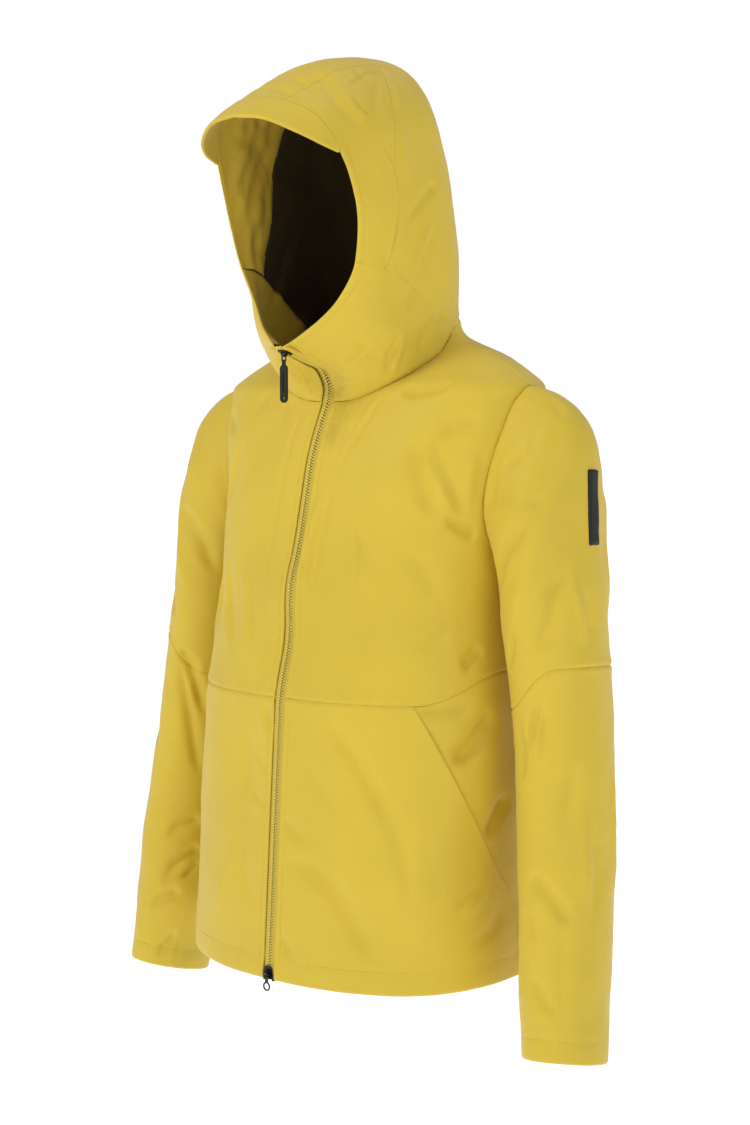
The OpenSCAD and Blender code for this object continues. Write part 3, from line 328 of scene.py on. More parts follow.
LF = [
 ('v', 4.2, 9, [(62,0.137), (88,0.137), (112,0.153), (134,0.227)], 0.25, 0.35),
 ('v', 3.6, 9, [(26,0.187), (42,0.217), (52,0.277), (64,0.313), (88,0.337)], 0.3, 0.3),
 ('v', 1.6, 7, [(34,0.043), (48,0.053), (56,0.07)], 0.4, 0.4),
 ('v', 1.7, 6, [(78,0.03), (68,0.043), (60,0.063)], 0.3, 0.4),
 ('v', 1.6, 5, [(68,0.1), (56,0.123), (54,0.113)], 0.3, 0.3),
 ('r', 2.0, 10, [(28,0.117), (46,0.133), (64,0.167), (88,0.23), (104,0.31)], 0.3, 0.3),
 ('v', 1.8, 5, [(102,0.287), (104,0.32), (116,0.36)], 0.3, 0.3),
 ('v', 1.5, 5, [(14,0.027), (16,0.043), (18,0.06)], 0.2, 0.4),
 ('v', 1.6, 7, [(104,0.02), (82,0.08), (70,0.11)], 0.2, 0.5),
 ('f', 1.5, 8, [(22,0.197), (14,0.273), (12,0.347)], 0.4, 0.4),
 ('v', 1.6, 6, [(84,0.017), (98,0.023), (110,0.03)], 0.3, 0.3),
 ('v', 3.0, 6, [(74,0.42), (88,0.47), (100,0.497)], 0.2, 0.4),
 ('f', 1.6, 5, [(68,0.423), (74,0.48), (80,0.527)], 0.3, 0.4),
 ('v', 2.4, 10, [(32,0.513), (46,0.607), (54,0.65)], 0.4, 0.4),
 ('v', 3.6, 7, [(96,0.697), (68,0.727), (44,0.77)], 0.15, 0.25),
 ('v', 1.8, 8, [(44,0.77), (54,0.823), (54,0.917)], 0.3, 0.3),
 ('v', 2.2, 6, [(100,0.847), (72,0.9), (54,0.923)], 0.3, 0.4),
 ('v', 2.0, 6, [(108,0.74), (98,0.777), (90,0.803)], 0.3, 0.4),
 ('v', 2.6, 5, [(110,0.443), (106,0.503), (104,0.557)], 0.2, 0.3),
 ('f', 1.4, 9, [(26,0.597), (18,0.697), (22,0.773)], 0.4, 0.4),
 ('v', 3.2, 9, [(240,.34),(262,.36),(290,.33)], .3, .4),
 ('v', 3.0, 9, [(232,.45),(258,.47),(286,.46)], .3, .4),
 ('v', 2.2, 9, [(246,.54),(270,.58),(300,.57)], .3, .4),
 ('v', 2.4, 9, [(262,.05),(270,.13),(256,.22)], .3, .4),
 ('f', 2.0, 11, [(300,.08),(312,.2),(306,.3)], .3, .4),
 ('v', 2.2, 9, [(228,.68),(256,.72),(280,.75)], .3, .4),
 ('v', 2.0, 9, [(300,.8),(270,.86),(244,.85)], .3, .4),
 ('f', 1.8, 11, [(324,.5),(334,.62),(322,.74)], .4, .4),
]
RF = [
 ('v', 3.2, 6, [(96,0.387), (120,0.447), (142,0.523)], 0.1, 0.3),
 ('v', 2.8, 7, [(92,0.41), (114,0.49), (140,0.61), (152,0.64)], 0.2, 0.2),
 ('v', 2.8, 7, [(154,0.707), (126,0.727), (114,0.757)], 0.1, 0.5),
 ('v', 3.6, 7, [(162,0.757), (134,0.787), (114,0.84)], 0.1, 0.5),
 ('v', 3.0, 4, [(160,0.78), (148,0.807), (138,0.813)], 0.1, 0.4),
 ('v', 3.0, 6, [(144,0.84), (116,0.863), (98,0.893)], 0.2, 0.4),
 ('v', 2.4, 5, [(146,0.923), (128,0.963), (122,0.987)], 0.3, 0.4),
 ('c', 1.0, 2.5, [(166,0.823), (152,0.933), (148,1.0)], 0.1, 0.1),
 ('v', 2.0, 7, [(108,0.39), (124,0.44), (142,0.517)], 0.2, 0.3),
 ('v', 3.6, 9, [(62,.137),(88,.140),(112,.155),(134,.225)], .25, .35),
 ('v', 3.0, 9, [(26,.19),(42,.22),(52,.275),(64,.31),(88,.335)], .3, .3),
 ('r', 1.6, 10, [(28,.12),(46,.135),(64,.17),(88,.23),(104,.30)], .3, .3),
 ('v', 1.6, 7, [(34,.045),(48,.055),(56,.07)], .4, .4),
 ('v', 3.0, 9, [(236,.345),(262,.355),(292,.34)], .3, .4),
 ('v', 2.8, 9, [(230,.46),(258,.475),(288,.455)], .3, .4),
 ('v', 2.2, 9, [(240,.56),(272,.59),(296,.575)], .3, .4),
 ('v', 2.4, 9, [(258,.05),(268,.12),(254,.21)], .3, .4),
 ('f', 2.0, 11, [(304,.09),(310,.2),(302,.31)], .3, .4),
 ('v', 2.4, 8, [(20,.52),(44,.56),(70,.60)], .3, .4),
 ('v', 2.2, 9, [(232,.70),(258,.73),(284,.74)], .3, .4),
]
BODY_F = FB(*BF)+FB(*BF2)
HOOD_F = [(k_, A_, w_, hdc(p_), a_, b_) for k_, A_, w_, p_, a_, b_ in HF]+[(k_, A_, w_, hdc(p_), a_, b_) for k_, A_, w_, p_, a_, b_ in HF2]
HOOD_F += [(k_, .8*A_, w_, (hdc(p_)*MX)[::-1] if k_ == 'f' else hdc(p_)*MX, a_, b_) for k_, A_, w_, p_, a_, b_ in HF if p_[0][0] > .25]
SLV_F = {1: FS(1, *LF), -1: FS(-1, *RF)}


def arm_gap(P):
    # rough distance in mm from the armhole curve
    a = np.linspace(0, 360, 73); uz = arm_uz(a); C = body0(uz[:, 0], uz[:, 1]); q = np.abs(P[..., 0])
    d = np.full(q.shape, 1e9)
    for c in C: d = np.minimum(d, np.sqrt((q-c[0])**2+(P[..., 1]-c[1])**2+(P[..., 2]-c[2])**2))
    return d
def Dbody(P, N):
    x = P[..., 0]; z = P[..., 2]
    D = herm(CFW, z)[..., 1]*np.exp(-(x/34.)**2)
    soft = 1.5*waves(P, 150, 3, aniso=(1, 1, .55))+0.5*waves(P, 60, 5, aniso=(1, 1, .6))
    fine = 0.13*waves(P, 21, 8)
    near_zip = sm((np.abs(x)-12)/40)
    low = sm((-300-z)/200)
    D = D+soft*near_zip*(1-.25*low)+fine*near_zip
    zc = sm((np.abs(x)-9)/10.); D = D+1.9*folds(P, N, BODY_F)*mix(1., zc, sm((-330-z)/40.))
    g = sm(arm_gap(P)/20.)
    nk = sm(neck_gap(P)/14.)
    return D*g*nk
_ns = np.linspace(0, 1, 49); _nuz = neck_uz(_ns); _nc = body0(_nuz[:, 0], _nuz[:, 1])
def neck_gap(P):
    q = np.abs(P[..., 0]); d = np.full(q.shape, 1e9)
    for c in _nc: d = np.minimum(d, np.sqrt((q-c[0])**2+(P[..., 1]-c[1])**2+(P[..., 2]-c[2])**2))
    return d
def Dhood(P, N, s, t):
    q = np.where(s > 1, 2-s, s)
    D = 1.1*waves(P, 120, 13)+0.45*waves(P, 48, 15)+0.12*waves(P, 18, 18)
    D = D*sm(t/.10)*sm((q-.02)/.2)
    D = D+1.6*folds(P, N, HOOD_F)*sm(t/.05)
    return D*sm((q)/.06)
def Dslv(P, N, a, t, k):
    D = 1.3*waves(P, 130, 23+k, aniso=(1, 1, .5))+0.5*waves(P, 52, 25+k, aniso=(1, 1, .7))+0.13*waves(P, 19, 28+k)
    D = D+1.7*folds(P, N, SLV_F[k])
    return D*sm(t/.04)

# ------------------------------------------------------------------ mesh
ORG = np.array([0, 61., 100.])
def row(P): return (np.asarray(P, float)-ORG)/1000.
def rp(x, y, z): return tuple(row([x, y, z]))
MADE = {}
def build(name, V, F, uv=None, mat=None):
    me = bpy.data.meshes.new(name); V = np.asarray(V, float); F = np.asarray(F, int)
    me.vertices.add(len(V)); me.vertices.foreach_set("co", V.astype(np.float32).ravel())
    k = F.shape[1]; me.loops.add(k*len(F)); me.polygons.add(len(F))
    me.loops.foreach_set("vertex_index", F.astype(np.int32).ravel()); me.polygons.foreach_set("loop_start", np.arange(0, k*len(F), k, dtype=np.int32))
    me.update(calc_edges=True); me.validate()
    if uv is not None and len(me.loops) == k*len(F):
        l = me.uv_layers.new(name="cloth"); l.data.foreach_set("uv", np.asarray(uv, np.float32)[F.ravel()].ravel())
    me.polygons.foreach_set("use_smooth", np.ones(len(me.polygons), bool))
    if mat is not None: me.materials.append(mat)
    ob = bpy.data.objects.new(name, me); bpy.context.scene.collection.objects.link(ob); MADE[name] = ob
    return ob
def arcs(P, wrap=False):
    a = np.linalg.norm(np.diff(P, axis=0), axis=-1); vi = np.concatenate([np.zeros((1, P.shape[1])), np.cumsum(a, 0)], 0)
    b = np.linalg.norm(np.diff(P, axis=1), axis=-1); wj = np.concatenate([np.zeros((P.shape[0], 1)), np.cumsum(b, 1)], 1)
    return vi, wj
def ticks(L, step, a=True, b=True, fine=(0, .5, 1.1, 1.9, 3., 4.6, 6.8)):
    f = np.array(fine)
    lo = f if a else f[:1]; hi = L-f[::-1] if b else np.array([L])
    i0 = lo[-1]; i1 = hi[0]; n = max(1, int(round((i1-i0)/step)))
    return np.concatenate([lo[:-1], np.linspace(i0, i1, n+1), hi[1:]])/L
def shellmesh(name, P, N, th, k, wrap=False, mat=None, off=0.):
    # closed double layer; k<0 for a mirrored piece
    nr, nc = P.shape[:2]; A = P-N*off; B = P-N*(off+th); m = nr*nc
    vi, wj = arcs(P); uv = np.stack([wj, vi], -1).reshape(-1, 2)/1000.; uv = np.concatenate([uv, uv+.37], 0)
    ids = np.arange(m).reshape(nr, nc); q = []
    if wrap:
        J = np.arange(nc); Jn = (J+1) % nc
    else:
        J = np.arange(nc-1); Jn = J+1
    I = np.arange(nr-1)
    a = ids[I][:, J]; b = ids[I][:, Jn]; c = ids[I+1][:, Jn]; d = ids[I+1][:, J]
    fo = np.stack([a, b, c, d], -1).reshape(-1, 4); fi = np.stack([a, d, c, b], -1).reshape(-1, 4)+m
    r0 = np.stack([ids[0][J], ids[0][J]+m, ids[0][Jn]+m, ids[0][Jn]], -1)
    r1 = np.stack([ids[-1][J], ids[-1][Jn], ids[-1][Jn]+m, ids[-1][J]+m], -1)
    q = [fo, fi, r0, r1]
    if not wrap:
        q.append(np.stack([ids[I][:, 0], ids[I+1][:, 0], ids[I+1][:, 0]+m, ids[I][:, 0]+m], -1))
        q.append(np.stack([ids[I][:, -1], ids[I][:, -1]+m, ids[I+1][:, -1]+m, ids[I+1][:, -1]], -1))
    F = np.concatenate(q, 0)
    if k < 0: F = F[:, ::-1]
    return build(name, row(np.concatenate([A.reshape(-1, 3), B.reshape(-1, 3)], 0)), F, uv, mat)
def gridarea(P, wrap=False):
    if wrap: P = np.concatenate([P, P[:, :1]], 1)
    a = P[:-1, :-1]; b = P[:-1, 1:]; c = P[1:, 1:]; d = P[1:, :-1]
    return (np.linalg.norm(np.cross(b-a, d-a), axis=-1)/2+np.linalg.norm(np.cross(b-c, d-c), axis=-1)/2).sum()
def seam(d, dip=.85, roll=.4, w=1.25):
    return -dip*np.exp(-(d/w)**2)+roll*np.exp(-((d-4.4)/2.4)**2)
def pucker(d, s, seed, A=.32, L=13.):
    r = np.random.RandomState(seed); f = 2*pi/L
    w = np.sin(s*f+2.1*np.sin(s*f*.31+r.uniform(0, 6))+r.uniform(0, 6))+.6*np.sin(s*f*1.73+r.uniform(0, 6)+1.7*np.sin(s*f*.17))
    return A*w*np.exp(-(d/9.)**2)*(1-np.exp(-(d/1.6)**2))
def edgeshape(P, name, edges, seed):
    # edges: dict side->kind for bottom, top, left, right
    vi, wj = arcs(P); Lv = vi[-1:]; Lw = wj[:, -1:]; D = np.zeros(P.shape[:2])
    dd = {'b': (vi, wj), 't': (Lv-vi, wj), 'l': (wj, vi), 'r': (Lw-wj, vi)}
    for q, (e, kind) in enumerate(edges.items()):
        d, s = dd[e]
        if kind == 'arm': D += .5*np.exp(-((d-4.6)/2.4)**2)-.25*np.exp(-(d/1.0)**2)+pucker(d, s, seed+q)
        elif kind == 'seam': D += seam(d)+pucker(d, s, seed+q)
        elif kind == 'flat': D += -.5*np.exp(-(d/.9)**2)
        elif kind == 'over': D += .5*np.exp(-(d/7.)**2)-.7*np.exp(-(d/.8)**2)+pucker(d, s, seed+q, .2)
        elif kind == 'hem':
            D += -1.1*np.exp(-(d/1.2)**2)-.5*np.exp(-((d-24)/1.5)**2)+.35*np.exp(-((d-13)/8.)**2)+.8*pucker(np.abs(d-24)+1.2, s, seed+q, .34, 15)+pucker(d, s, seed+9+q, .2, 22)
        elif kind == 'cuff':
            D += -1.0*np.exp(-(d/1.1)**2)-.5*np.exp(-((d-23)/1.4)**2)+.3*np.exp(-((d-12)/7.)**2)+.8*pucker(np.abs(d-23)+1.2, s, seed+q, .3, 12)
        elif kind == 'face':
            D += -1.1*np.exp(-(d/1.1)**2)-.35*np.exp(-((d-9)/1.2)**2)+.25*np.exp(-((d-4.5)/2.2)**2)+pucker(d, s, seed+q, .22, 16)
        elif kind == 'zip':
            D += .9*np.exp(-(d/3.2)**2)-.9*np.exp(-(d/.8)**2)-.28*np.exp(-((d-6.6)/.9)**2)+.8*pucker(np.abs(d-6.6)+1, s, seed+q, .3, 11)
    return D
SHEETS = []
def cloth_facts(ob, P, wrap, held, rests, with_pieces=()):
    vi, wj = arcs(np.concatenate([P, P[:, :1]], 1) if wrap else P)
    w = round(float(wj[:, -1].max())/1000, 2); l = round(float(vi[-1].max())/1000, 2); a = round(float(gridarea(P, wrap))/1e6, 4)
    w = max(w, .02); l = max(l, .02); a = min(a, w*l)
    if a < .31*w*l:
        l = round(a/(.5*w), 3)
    SHEETS.append((ob, (w, l), held, rests, a))
def bodypiece(name, fn, k, L, step, edges, th=1.2, off=0., mat=None, nodes=None, seed=0, rider='torso', offfn=None, extra=None, dscale=1., flush=None, rests=(), held='hung', fine=None):
    fa = dict(fine=fine) if fine else {}
    e = edges
    v = ticks(L[0], step[0], 'b' in e, 't' in e, **fa); w = ticks(L[1], step[1], 'l' in e, 'r' in e, **fa)
    V, W = np.meshgrid(v, w, indexing='ij'); q = fn(V, W); B = body0(q[..., 0], q[..., 1]); N = body_n(q[..., 0], q[..., 1])
    if k < 0: B = B*MX; N = N*MX
    D = Dbody(B, N)*dscale+edgeshape(B, name, edges, seed)*sm((arm_gap(B)+.4)/7.)*sm((neck_gap(B)+.4)/7.)
    if extra is not None: D = D+extra(V, W, q, B)
    o = off if offfn is None else offfn(V, W, q)
    P = B+N*(D-o)[..., None]
    ob = shellmesh(name, P, N, th, k, mat=mat); cloth_facts(ob, B, False, held, rests)
    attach(ob, rider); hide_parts(*(nodes or [name]))
    return ob

# ------------------------------------------------------------------ finishes
def lin(c): return tuple(((x/255.)/12.92 if x <= 10 else (((x/255.)+.055)/1.055)**2.4) for x in c)+(1.,)
def newmat(name):
    m = bpy.data.materials.new(name); m.use_nodes = True; nt = m.node_tree; nt.nodes.clear()
    o = nt.nodes.new("ShaderNodeOutputMaterial"); b = nt.nodes.new("ShaderNodeBsdfPrincipled"); nt.links.new(b.outputs[0], o.inputs[0])
    return m, nt, b
def vary(nt, b, col, amt, scale, detail=4., coord=None, dark=1.):
    n = nt.nodes.new("ShaderNodeTexNoise"); n.inputs["Scale"].default_value = scale; n.inputs["Detail"].default_value = detail
    if coord is not None: nt.links.new(coord, n.inputs["Vector"])
    r = nt.nodes.new("ShaderNodeValToRGB"); e = r.color_ramp.elements
    e[0].position = .3; e[1].position = .72
    lo = [c*(1-amt)*dark for c in col[:3]]+[1]; hi = [min(1, c*(1+amt*.6)) for c in col[:3]]+[1]
    e[0].color = lo; e[1].color = hi
    nt.links.new(n.outputs[0], r.inputs[0]); nt.links.new(r.outputs[0], b.inputs["Base Color"])
    return n
def bump(nt, h, strength, dist, prev=None):
    k = nt.nodes.new("ShaderNodeBump"); k.inputs["Strength"].default_value = strength; k.inputs["Distance"].default_value = dist
    nt.links.new(h, k.inputs["Height"])
    if prev is not None: nt.links.new(prev.outputs[0], k.inputs["Normal"])
    return k
def fabric(name, rgb, rough=.56, crinkle=.5, sheen=.12, amt=.06, spec=.32):
    m, nt, b = newmat(name); col = lin(rgb)
    tc = nt.nodes.new("ShaderNodeTexCoord")
    vary(nt, b, col, amt, 7., 3., tc.outputs["Object"])
    b.inputs["Roughness"].default_value = rough; b.inputs["Specular IOR Level"].default_value = spec
    b.inputs["Sheen Weight"].default_value = sheen; b.inputs["Sheen Roughness"].default_value = .45
    uvn = nt.nodes.new("ShaderNodeUVMap"); uvn.uv_map = "cloth"
    w1 = nt.nodes.new("ShaderNodeTexWave"); w1.wave_type = 'BANDS'; w1.bands_direction = 'X'; w1.inputs["Scale"].default_value = 420.; w1.inputs["Distortion"].default_value = .6
    w2 = nt.nodes.new("ShaderNodeTexWave"); w2.wave_type = 'BANDS'; w2.bands_direction = 'Y'; w2.inputs["Scale"].default_value = 420.; w2.inputs["Distortion"].default_value = .6
    nt.links.new(uvn.outputs[0], w1.inputs["Vector"]); nt.links.new(uvn.outputs[0], w2.inputs["Vector"])
    k1 = bump(nt, w1.outputs["Fac"], .12, .00012); k2 = bump(nt, w2.outputs["Fac"], .12, .00012, k1)
    n2 = nt.nodes.new("ShaderNodeTexNoise"); n2.inputs["Scale"].default_value = 55.; n2.inputs["Detail"].default_value = 5.; n2.inputs["Roughness"].default_value = .55; n2.inputs["Distortion"].default_value = .7
    nt.links.new(tc.outputs["Object"], n2.inputs["Vector"])
    k3 = bump(nt, n2.outputs[0], crinkle*.55, .0022, k2)
    n3 = nt.nodes.new("ShaderNodeTexNoise"); n3.inputs["Scale"].default_value = 260.; n3.inputs["Detail"].default_value = 3.
    nt.links.new(tc.outputs["Object"], n3.inputs["Vector"])
    k4 = bump(nt, n3.outputs[0], crinkle*.35, .0005, k3)
    nt.links.new(k4.outputs[0], b.inputs["Normal"])
    return m
def solid(name, rgb, rough, metal=0., grain=300., amt=.15, bumps=.2, dist=.0002, coat=0., spec=.5):
    m, nt, b = newmat(name); col = lin(rgb); tc = nt.nodes.new("ShaderNodeTexCoord")
    n = vary(nt, b, col, amt, grain, 3., tc.outputs["Object"])
    b.inputs["Roughness"].default_value = rough; b.inputs["Metallic"].default_value = metal; b.inputs["Coat Weight"].default_value = coat; b.inputs["Specular IOR Level"].default_value = spec
    k = bump(nt, n.outputs[0], bumps, dist); nt.links.new(k.outputs[0], b.inputs["Normal"])
    return m
YEL = (214, 186, 58)
M_SHELL = fabric("shell_cloth", YEL)
M_FACE = fabric("facing_cloth", (206, 176, 58), rough=.62, crinkle=.8)
M_LIN = fabric("lining_cloth", (58, 46, 24), rough=.75, crinkle=.6, sheen=.05, amt=.25, spec=.2)
M_TAPE = fabric("zip_tape", (208, 182, 66), rough=.7, crinkle=.2)
M_THREAD = solid("thread", (206, 178, 62), .6, grain=900., bumps=.4, dist=.0001)
M_TEETH = solid("zip_teeth", (226, 206, 96), .38, grain=420., amt=.05, bumps=.1, dist=.0001, coat=.1)
M_RUB = solid("black_rubber", (20, 19, 18), .55, grain=600., bumps=.35, dist=.00025, spec=.4)
M_MET = solid("black_metal", (26, 25, 24), .34, metal=.55, grain=500., bumps=.12, dist=.0001, coat=.25)
M_PLA = solid("black_plastic", (24, 23, 22), .42, grain=450., bumps=.2, dist=.00015)
M_WEB = fabric("webbing", (196, 168, 60), rough=.75, crinkle=.3)
M_CORE = solid("stiffener", (46, 44, 40), .6, grain=200., bumps=.2)

# ------------------------------------------------------------------ sizes shared with the CAD
LG = 5.4; PM = 2.2; TH = 1.2; LT = .8; CORE = 1.4; CUFF = 26.; HEMD = 35.
TAPE = 1.75
def bumpf(x, a, b, e): return sm((x-a)/e)*sm((b-x)/e)
def lo(q):
    u = np.abs(q[..., 0]); z = q[..., 1]
    return LG+6.6*bumpf(u, 12, 112, 26)*bumpf(z, -606, -268, 40)+7*sm((z+150)/80)*sm((u-58)/30)
SD = {1: 'left', -1: 'right'}
fine2 = (0, 1., 2.6)

# ------------------------------------------------------------------ body cloth
for k in (1, -1):
    s = SD[k]
    bodypiece(f"front_upper_{s}", fu, k, (320., 250.), (3.2, 3.2), {'b': 'seam', 't': 'seam', 'l': 'zip', 'r': 'seam'}, mat=M_SHELL, seed=11+k)
    bodypiece(f"front_lower_{s}", fl, k, (300., 200.), (3.2, 3.2), {'b': 'hem', 't': 'seam', 'l': 'zip', 'r': 'over'}, mat=M_SHELL, seed=21+k)
    g = lambda v, w, q: PM*(1-sm(w*1.6))*np.maximum(.64, sm((v-.1)*5)*sm((1-v)*9))+.03
    bodypiece(f"side_panel_{s}", sp, k, (240., 90.), (4., 4.), {'t': 'seam', 'r': 'seam'}, mat=M_SHELL, seed=31+k, offfn=g)
    def lf(v, w):
        ll = lambda v: st(u_at(16., mix(HEM+34, -2, v)), mix(HEM+34, -2, v))
        rr = lambda v: wh(v < .5, st(side_u(mix(HEM+34, -160, v/.5)), mix(HEM+34, -160, v/.5)), wh(v < 6/7, arm_uz(180-180*(v-.5)/(5/14)), st(90, mix(15, 77, (v-6/7)*7))))
        return coons(v, w, lambda w: st(mix(u_at(16., HEM+34.), 100, w), HEM+34), lambda w: neck_uz(mix(.05, .5, w)), ll, rr)
    bodypiece(f"front_lining_{s}", lf, k, (600., 250.), (9., 9.), {}, th=LT, mat=M_LIN, offfn=lambda v, w, q: lo(q), seed=41)
    bodypiece(f"pocket_bag_{s}", lambda v, w: st(mix(24, mix(92, 70, sm(v)), w), mix(-584, -330, v)), k, (250., 170.), (8., 8.), {}, th=.6, mat=M_LIN, offfn=lambda v, w, q: lo(q)-2., seed=51)
def backpiece(name, fn, L, step, edges, th=TH, mat=M_SHELL, offfn=None, seed=0, off=0.):
    e = edges; v = ticks(L[0], step[0], 'b' in e, 't' in e); w = ticks(L[1], step[1], 'l' in e, False)
    V, W = np.meshgrid(v, w, indexing='ij'); q = fn(V, W); B = body0(q[..., 0], q[..., 1]); N = body_n(q[..., 0], q[..., 1])
    N[:, -1] = unit(N[:, -1]*np.array([0, 1, 1.])) if abs(q[0, -1, 0]-180) < 1e-6 else N[:, -1]
    o = off if offfn is None else offfn(V, W, q)
    out = []
    BB = np.concatenate([B, (B*MX)[:, ::-1][:, 1:]], 1); NN = np.concatenate([N, (N*MX)[:, ::-1][:, 1:]], 1)
    oo = np.broadcast_to(o, B.shape[:2]); OO = np.concatenate([oo, oo[:, ::-1][:, 1:]], 1)
    ed = dict(edges)
    if 'l' in ed: ed['r'] = ed['l']
    D = Dbody(BB, NN)+edgeshape(BB, name, ed, seed)*sm((arm_gap(BB)+.4)/7.)*sm((neck_gap(BB)+.4)/7.)
    P = BB+NN*(D-OO)[..., None]
    ob = shellmesh(name, P, NN, th, 1, mat=mat); cloth_facts(ob, BB, False, 'hung', ())
    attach(ob, 'torso'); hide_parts(name); return ob
backpiece("back_yoke", yoke, (230., 260.), (4., 4.), {'b': 'seam', 't': 'seam', 'l': 'seam'}, seed=61)
backpiece("back_lower", bl, (500., 260.), (4.5, 4.5), {'b': 'hem', 't': 'seam', 'l': 'seam'}, seed=63)
def blin(v, w):
    return coons(v, w, lambda w: st(mix(100, 180, w), HEM+34), bk_T,
      lambda v: wh(v < .5, st(side_u(mix(HEM+34, -160, v/.5)), mix(HEM+34, -160, v/.5)), wh(v < 6/7, arm_uz(-180+180*(v-.5)/(5/14)), st(90, mix(15, 77, (v-6/7)*7)))),
      lambda v: st(180, mix(HEM+34, 92, v)))
backpiece("back_lining", blin, (690., 260.), (9., 9.), {}, th=LT, mat=M_LIN, offfn=lambda v, w, q: lo(q), seed=65)
backpiece("hem_facing", lambda v, w: st(mix(zip_u(HEM)+3.5, 180, w), mix(HEM+1, HEM+HEMD, v)), (34., 560.), (4., 5.), {}, mat=M_FACE, off=2.2, seed=67)
def flap(name):
    v = np.linspace(0, 1, 120); w = np.linspace(0, 1, 9); V, W = np.meshgrid(v, w, indexing='ij')
    z = mix(HEM+6, -8, V); x = mix(-13, 14.5, W); u = u_at(np.abs(x), z)*np.sign(x); B = body0(u, z); N = body_n(u, z)
    P = B+N*(Dbody(B, N)-6.4)[..., None]; ob = shellmesh(name, P, N, TH, 1, mat=M_FACE); cloth_facts(ob, B, False, 'hung', ())
    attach(ob, 'torso'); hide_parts(name)
flap("storm_flap")

# ------------------------------------------------------------------ hood and collar
def hoodblend(ob):
    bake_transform(ob)
def hoodpiece(name, s0, s1, t0, t1, L, step, edges, k=1, th=TH, mat=M_SHELL, offfn=None, seed=0, rider=None, extra=None, fine=None, off=0.):
    fa = dict(fine=fine) if fine else {}
    e = edges; v = ticks(L[0], step[0], 'b' in e, 't' in e, **fa); w = ticks(L[1], step[1], 'l' in e, 'r' in e, **fa)
    V, W = np.meshgrid(v, w, indexing='ij'); s = mix(s0, s1, W); t = mix(t0, t1, V); B = hood0(s, t); N = hood_n(s, t)
    if k < 0: B = B*MX; N = N*MX
    D = Dhood(B, N, s, t)+edgeshape(B, name, edges, seed)
    if extra is not None: D = D+extra(s, t, B)
    o = off if offfn is None else offfn(s, t)
    P = B+N*(D-o)[..., None]
    ob = shellmesh(name, P, N, th, k, mat=mat); cloth_facts(ob, B, False, 'hung', ())
    if rider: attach(ob, rider)
    else: hoodblend(ob)
    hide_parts(name); return ob
HS0 = SC; HT0 = 0.; HB = .75; SK = .875
inn = lambda s, t: 1.35+4.05*(1-sm((t-.86)/.13))
for k in (1, -1):
    n = SD[k]
    hoodpiece(f"collar_{n}", S_ZIP, SC, 0, 1, (110., 150.), (2.6, 2.6), {'b': 'arm', 't': 'face', 'l': 'zip', 'r': 'none'}, k=k, seed=71+k)
    hoodpiece(f"collar_facing_{n}", .06, SC-.002, .02, .995, (105., 140.), (4., 4.), {}, k=k, mat=M_FACE, offfn=inn, seed=75+k)
    hoodpiece(f"hood_side_{n}", HS0, SK, HT0, HB, (230., 260.), (2.8, 2.8), {'b': 'arm', 't': 'flat', 'l': 'none', 'r': 'flat'}, k=k, seed=81+k)
    hoodpiece(f"hood_band_{n}", HS0, SK, HB, 1, (75., 260.), (2.6, 2.6), {'b': 'flat', 't': 'face', 'l': 'none', 'r': 'flat'}, k=k, seed=85+k)
hoodpiece("hood_center", SK, 2-SK, HT0, 1, (420., 90.), (3., 3.), {'b': 'arm', 't': 'flat', 'l': 'flat', 'r': 'flat'}, seed=91)
fwr = lambda s, t, B: 1.6*waves(B, 34, 95, aniso=(1, 1, .35))*sm((t-.70)/.08)*sm((.99-t)/.12)-1.2*sm((t-.74)/.1)*sm((.99-t)/.1)
hoodpiece("hood_facing", SC+.002, 2-SC-.002, .72, .995, (80., 700.), (3., 3.), {}, th=LT, mat=M_FACE, offfn=inn, seed=93, extra=fwr)
hoodpiece("hood_lining", SC+.002, 2-SC-.002, .03, .725, (240., 700.), (6., 6.), {}, th=LT, mat=M_LIN, off=5.6, seed=94, extra=lambda s, t, B: 1.6*waves(B, 70, 97))
def brimpiece(name, o1, th, v0, v1, mat, curl, step=3.):
    s = np.linspace(.632, 1.368, int(330/step)); v = ticks(58., step, False, True, fine=(0, .4, .9, 1.6, 2.6, 4.))*(v1-v0)+v0
    V, S = np.meshgrid(v, s, indexing='ij'); B = brim0(S, V); N = brim_n(S, V)
    d = (1-V)*58.; o = o1+curl*np.exp(-(d/1.3)**2)
    D = .35*waves(B, 60, 101)-.3*np.exp(-((d-8)/1.)**2)-.3*np.exp(-((d-15)/1.)**2) if mat is not M_CORE else 0*V
    P = B+N*(D*sm(V/.15)-o)[..., None]
    ob = shellmesh(name, P, N, th, 1, mat=mat); cloth_facts(ob, B, False, 'stretched', ()); hoodblend(ob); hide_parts(name); return ob
brimpiece("brim_top", -.2, .9, .02, 1, M_SHELL, 1.2)
brimpiece("brim_core_sheet", 1.2, CORE, .06, .94, M_CORE, 0.)
brimpiece("brim_under", 1.5+CORE, .9, .02, 1, M_FACE, -1.0)

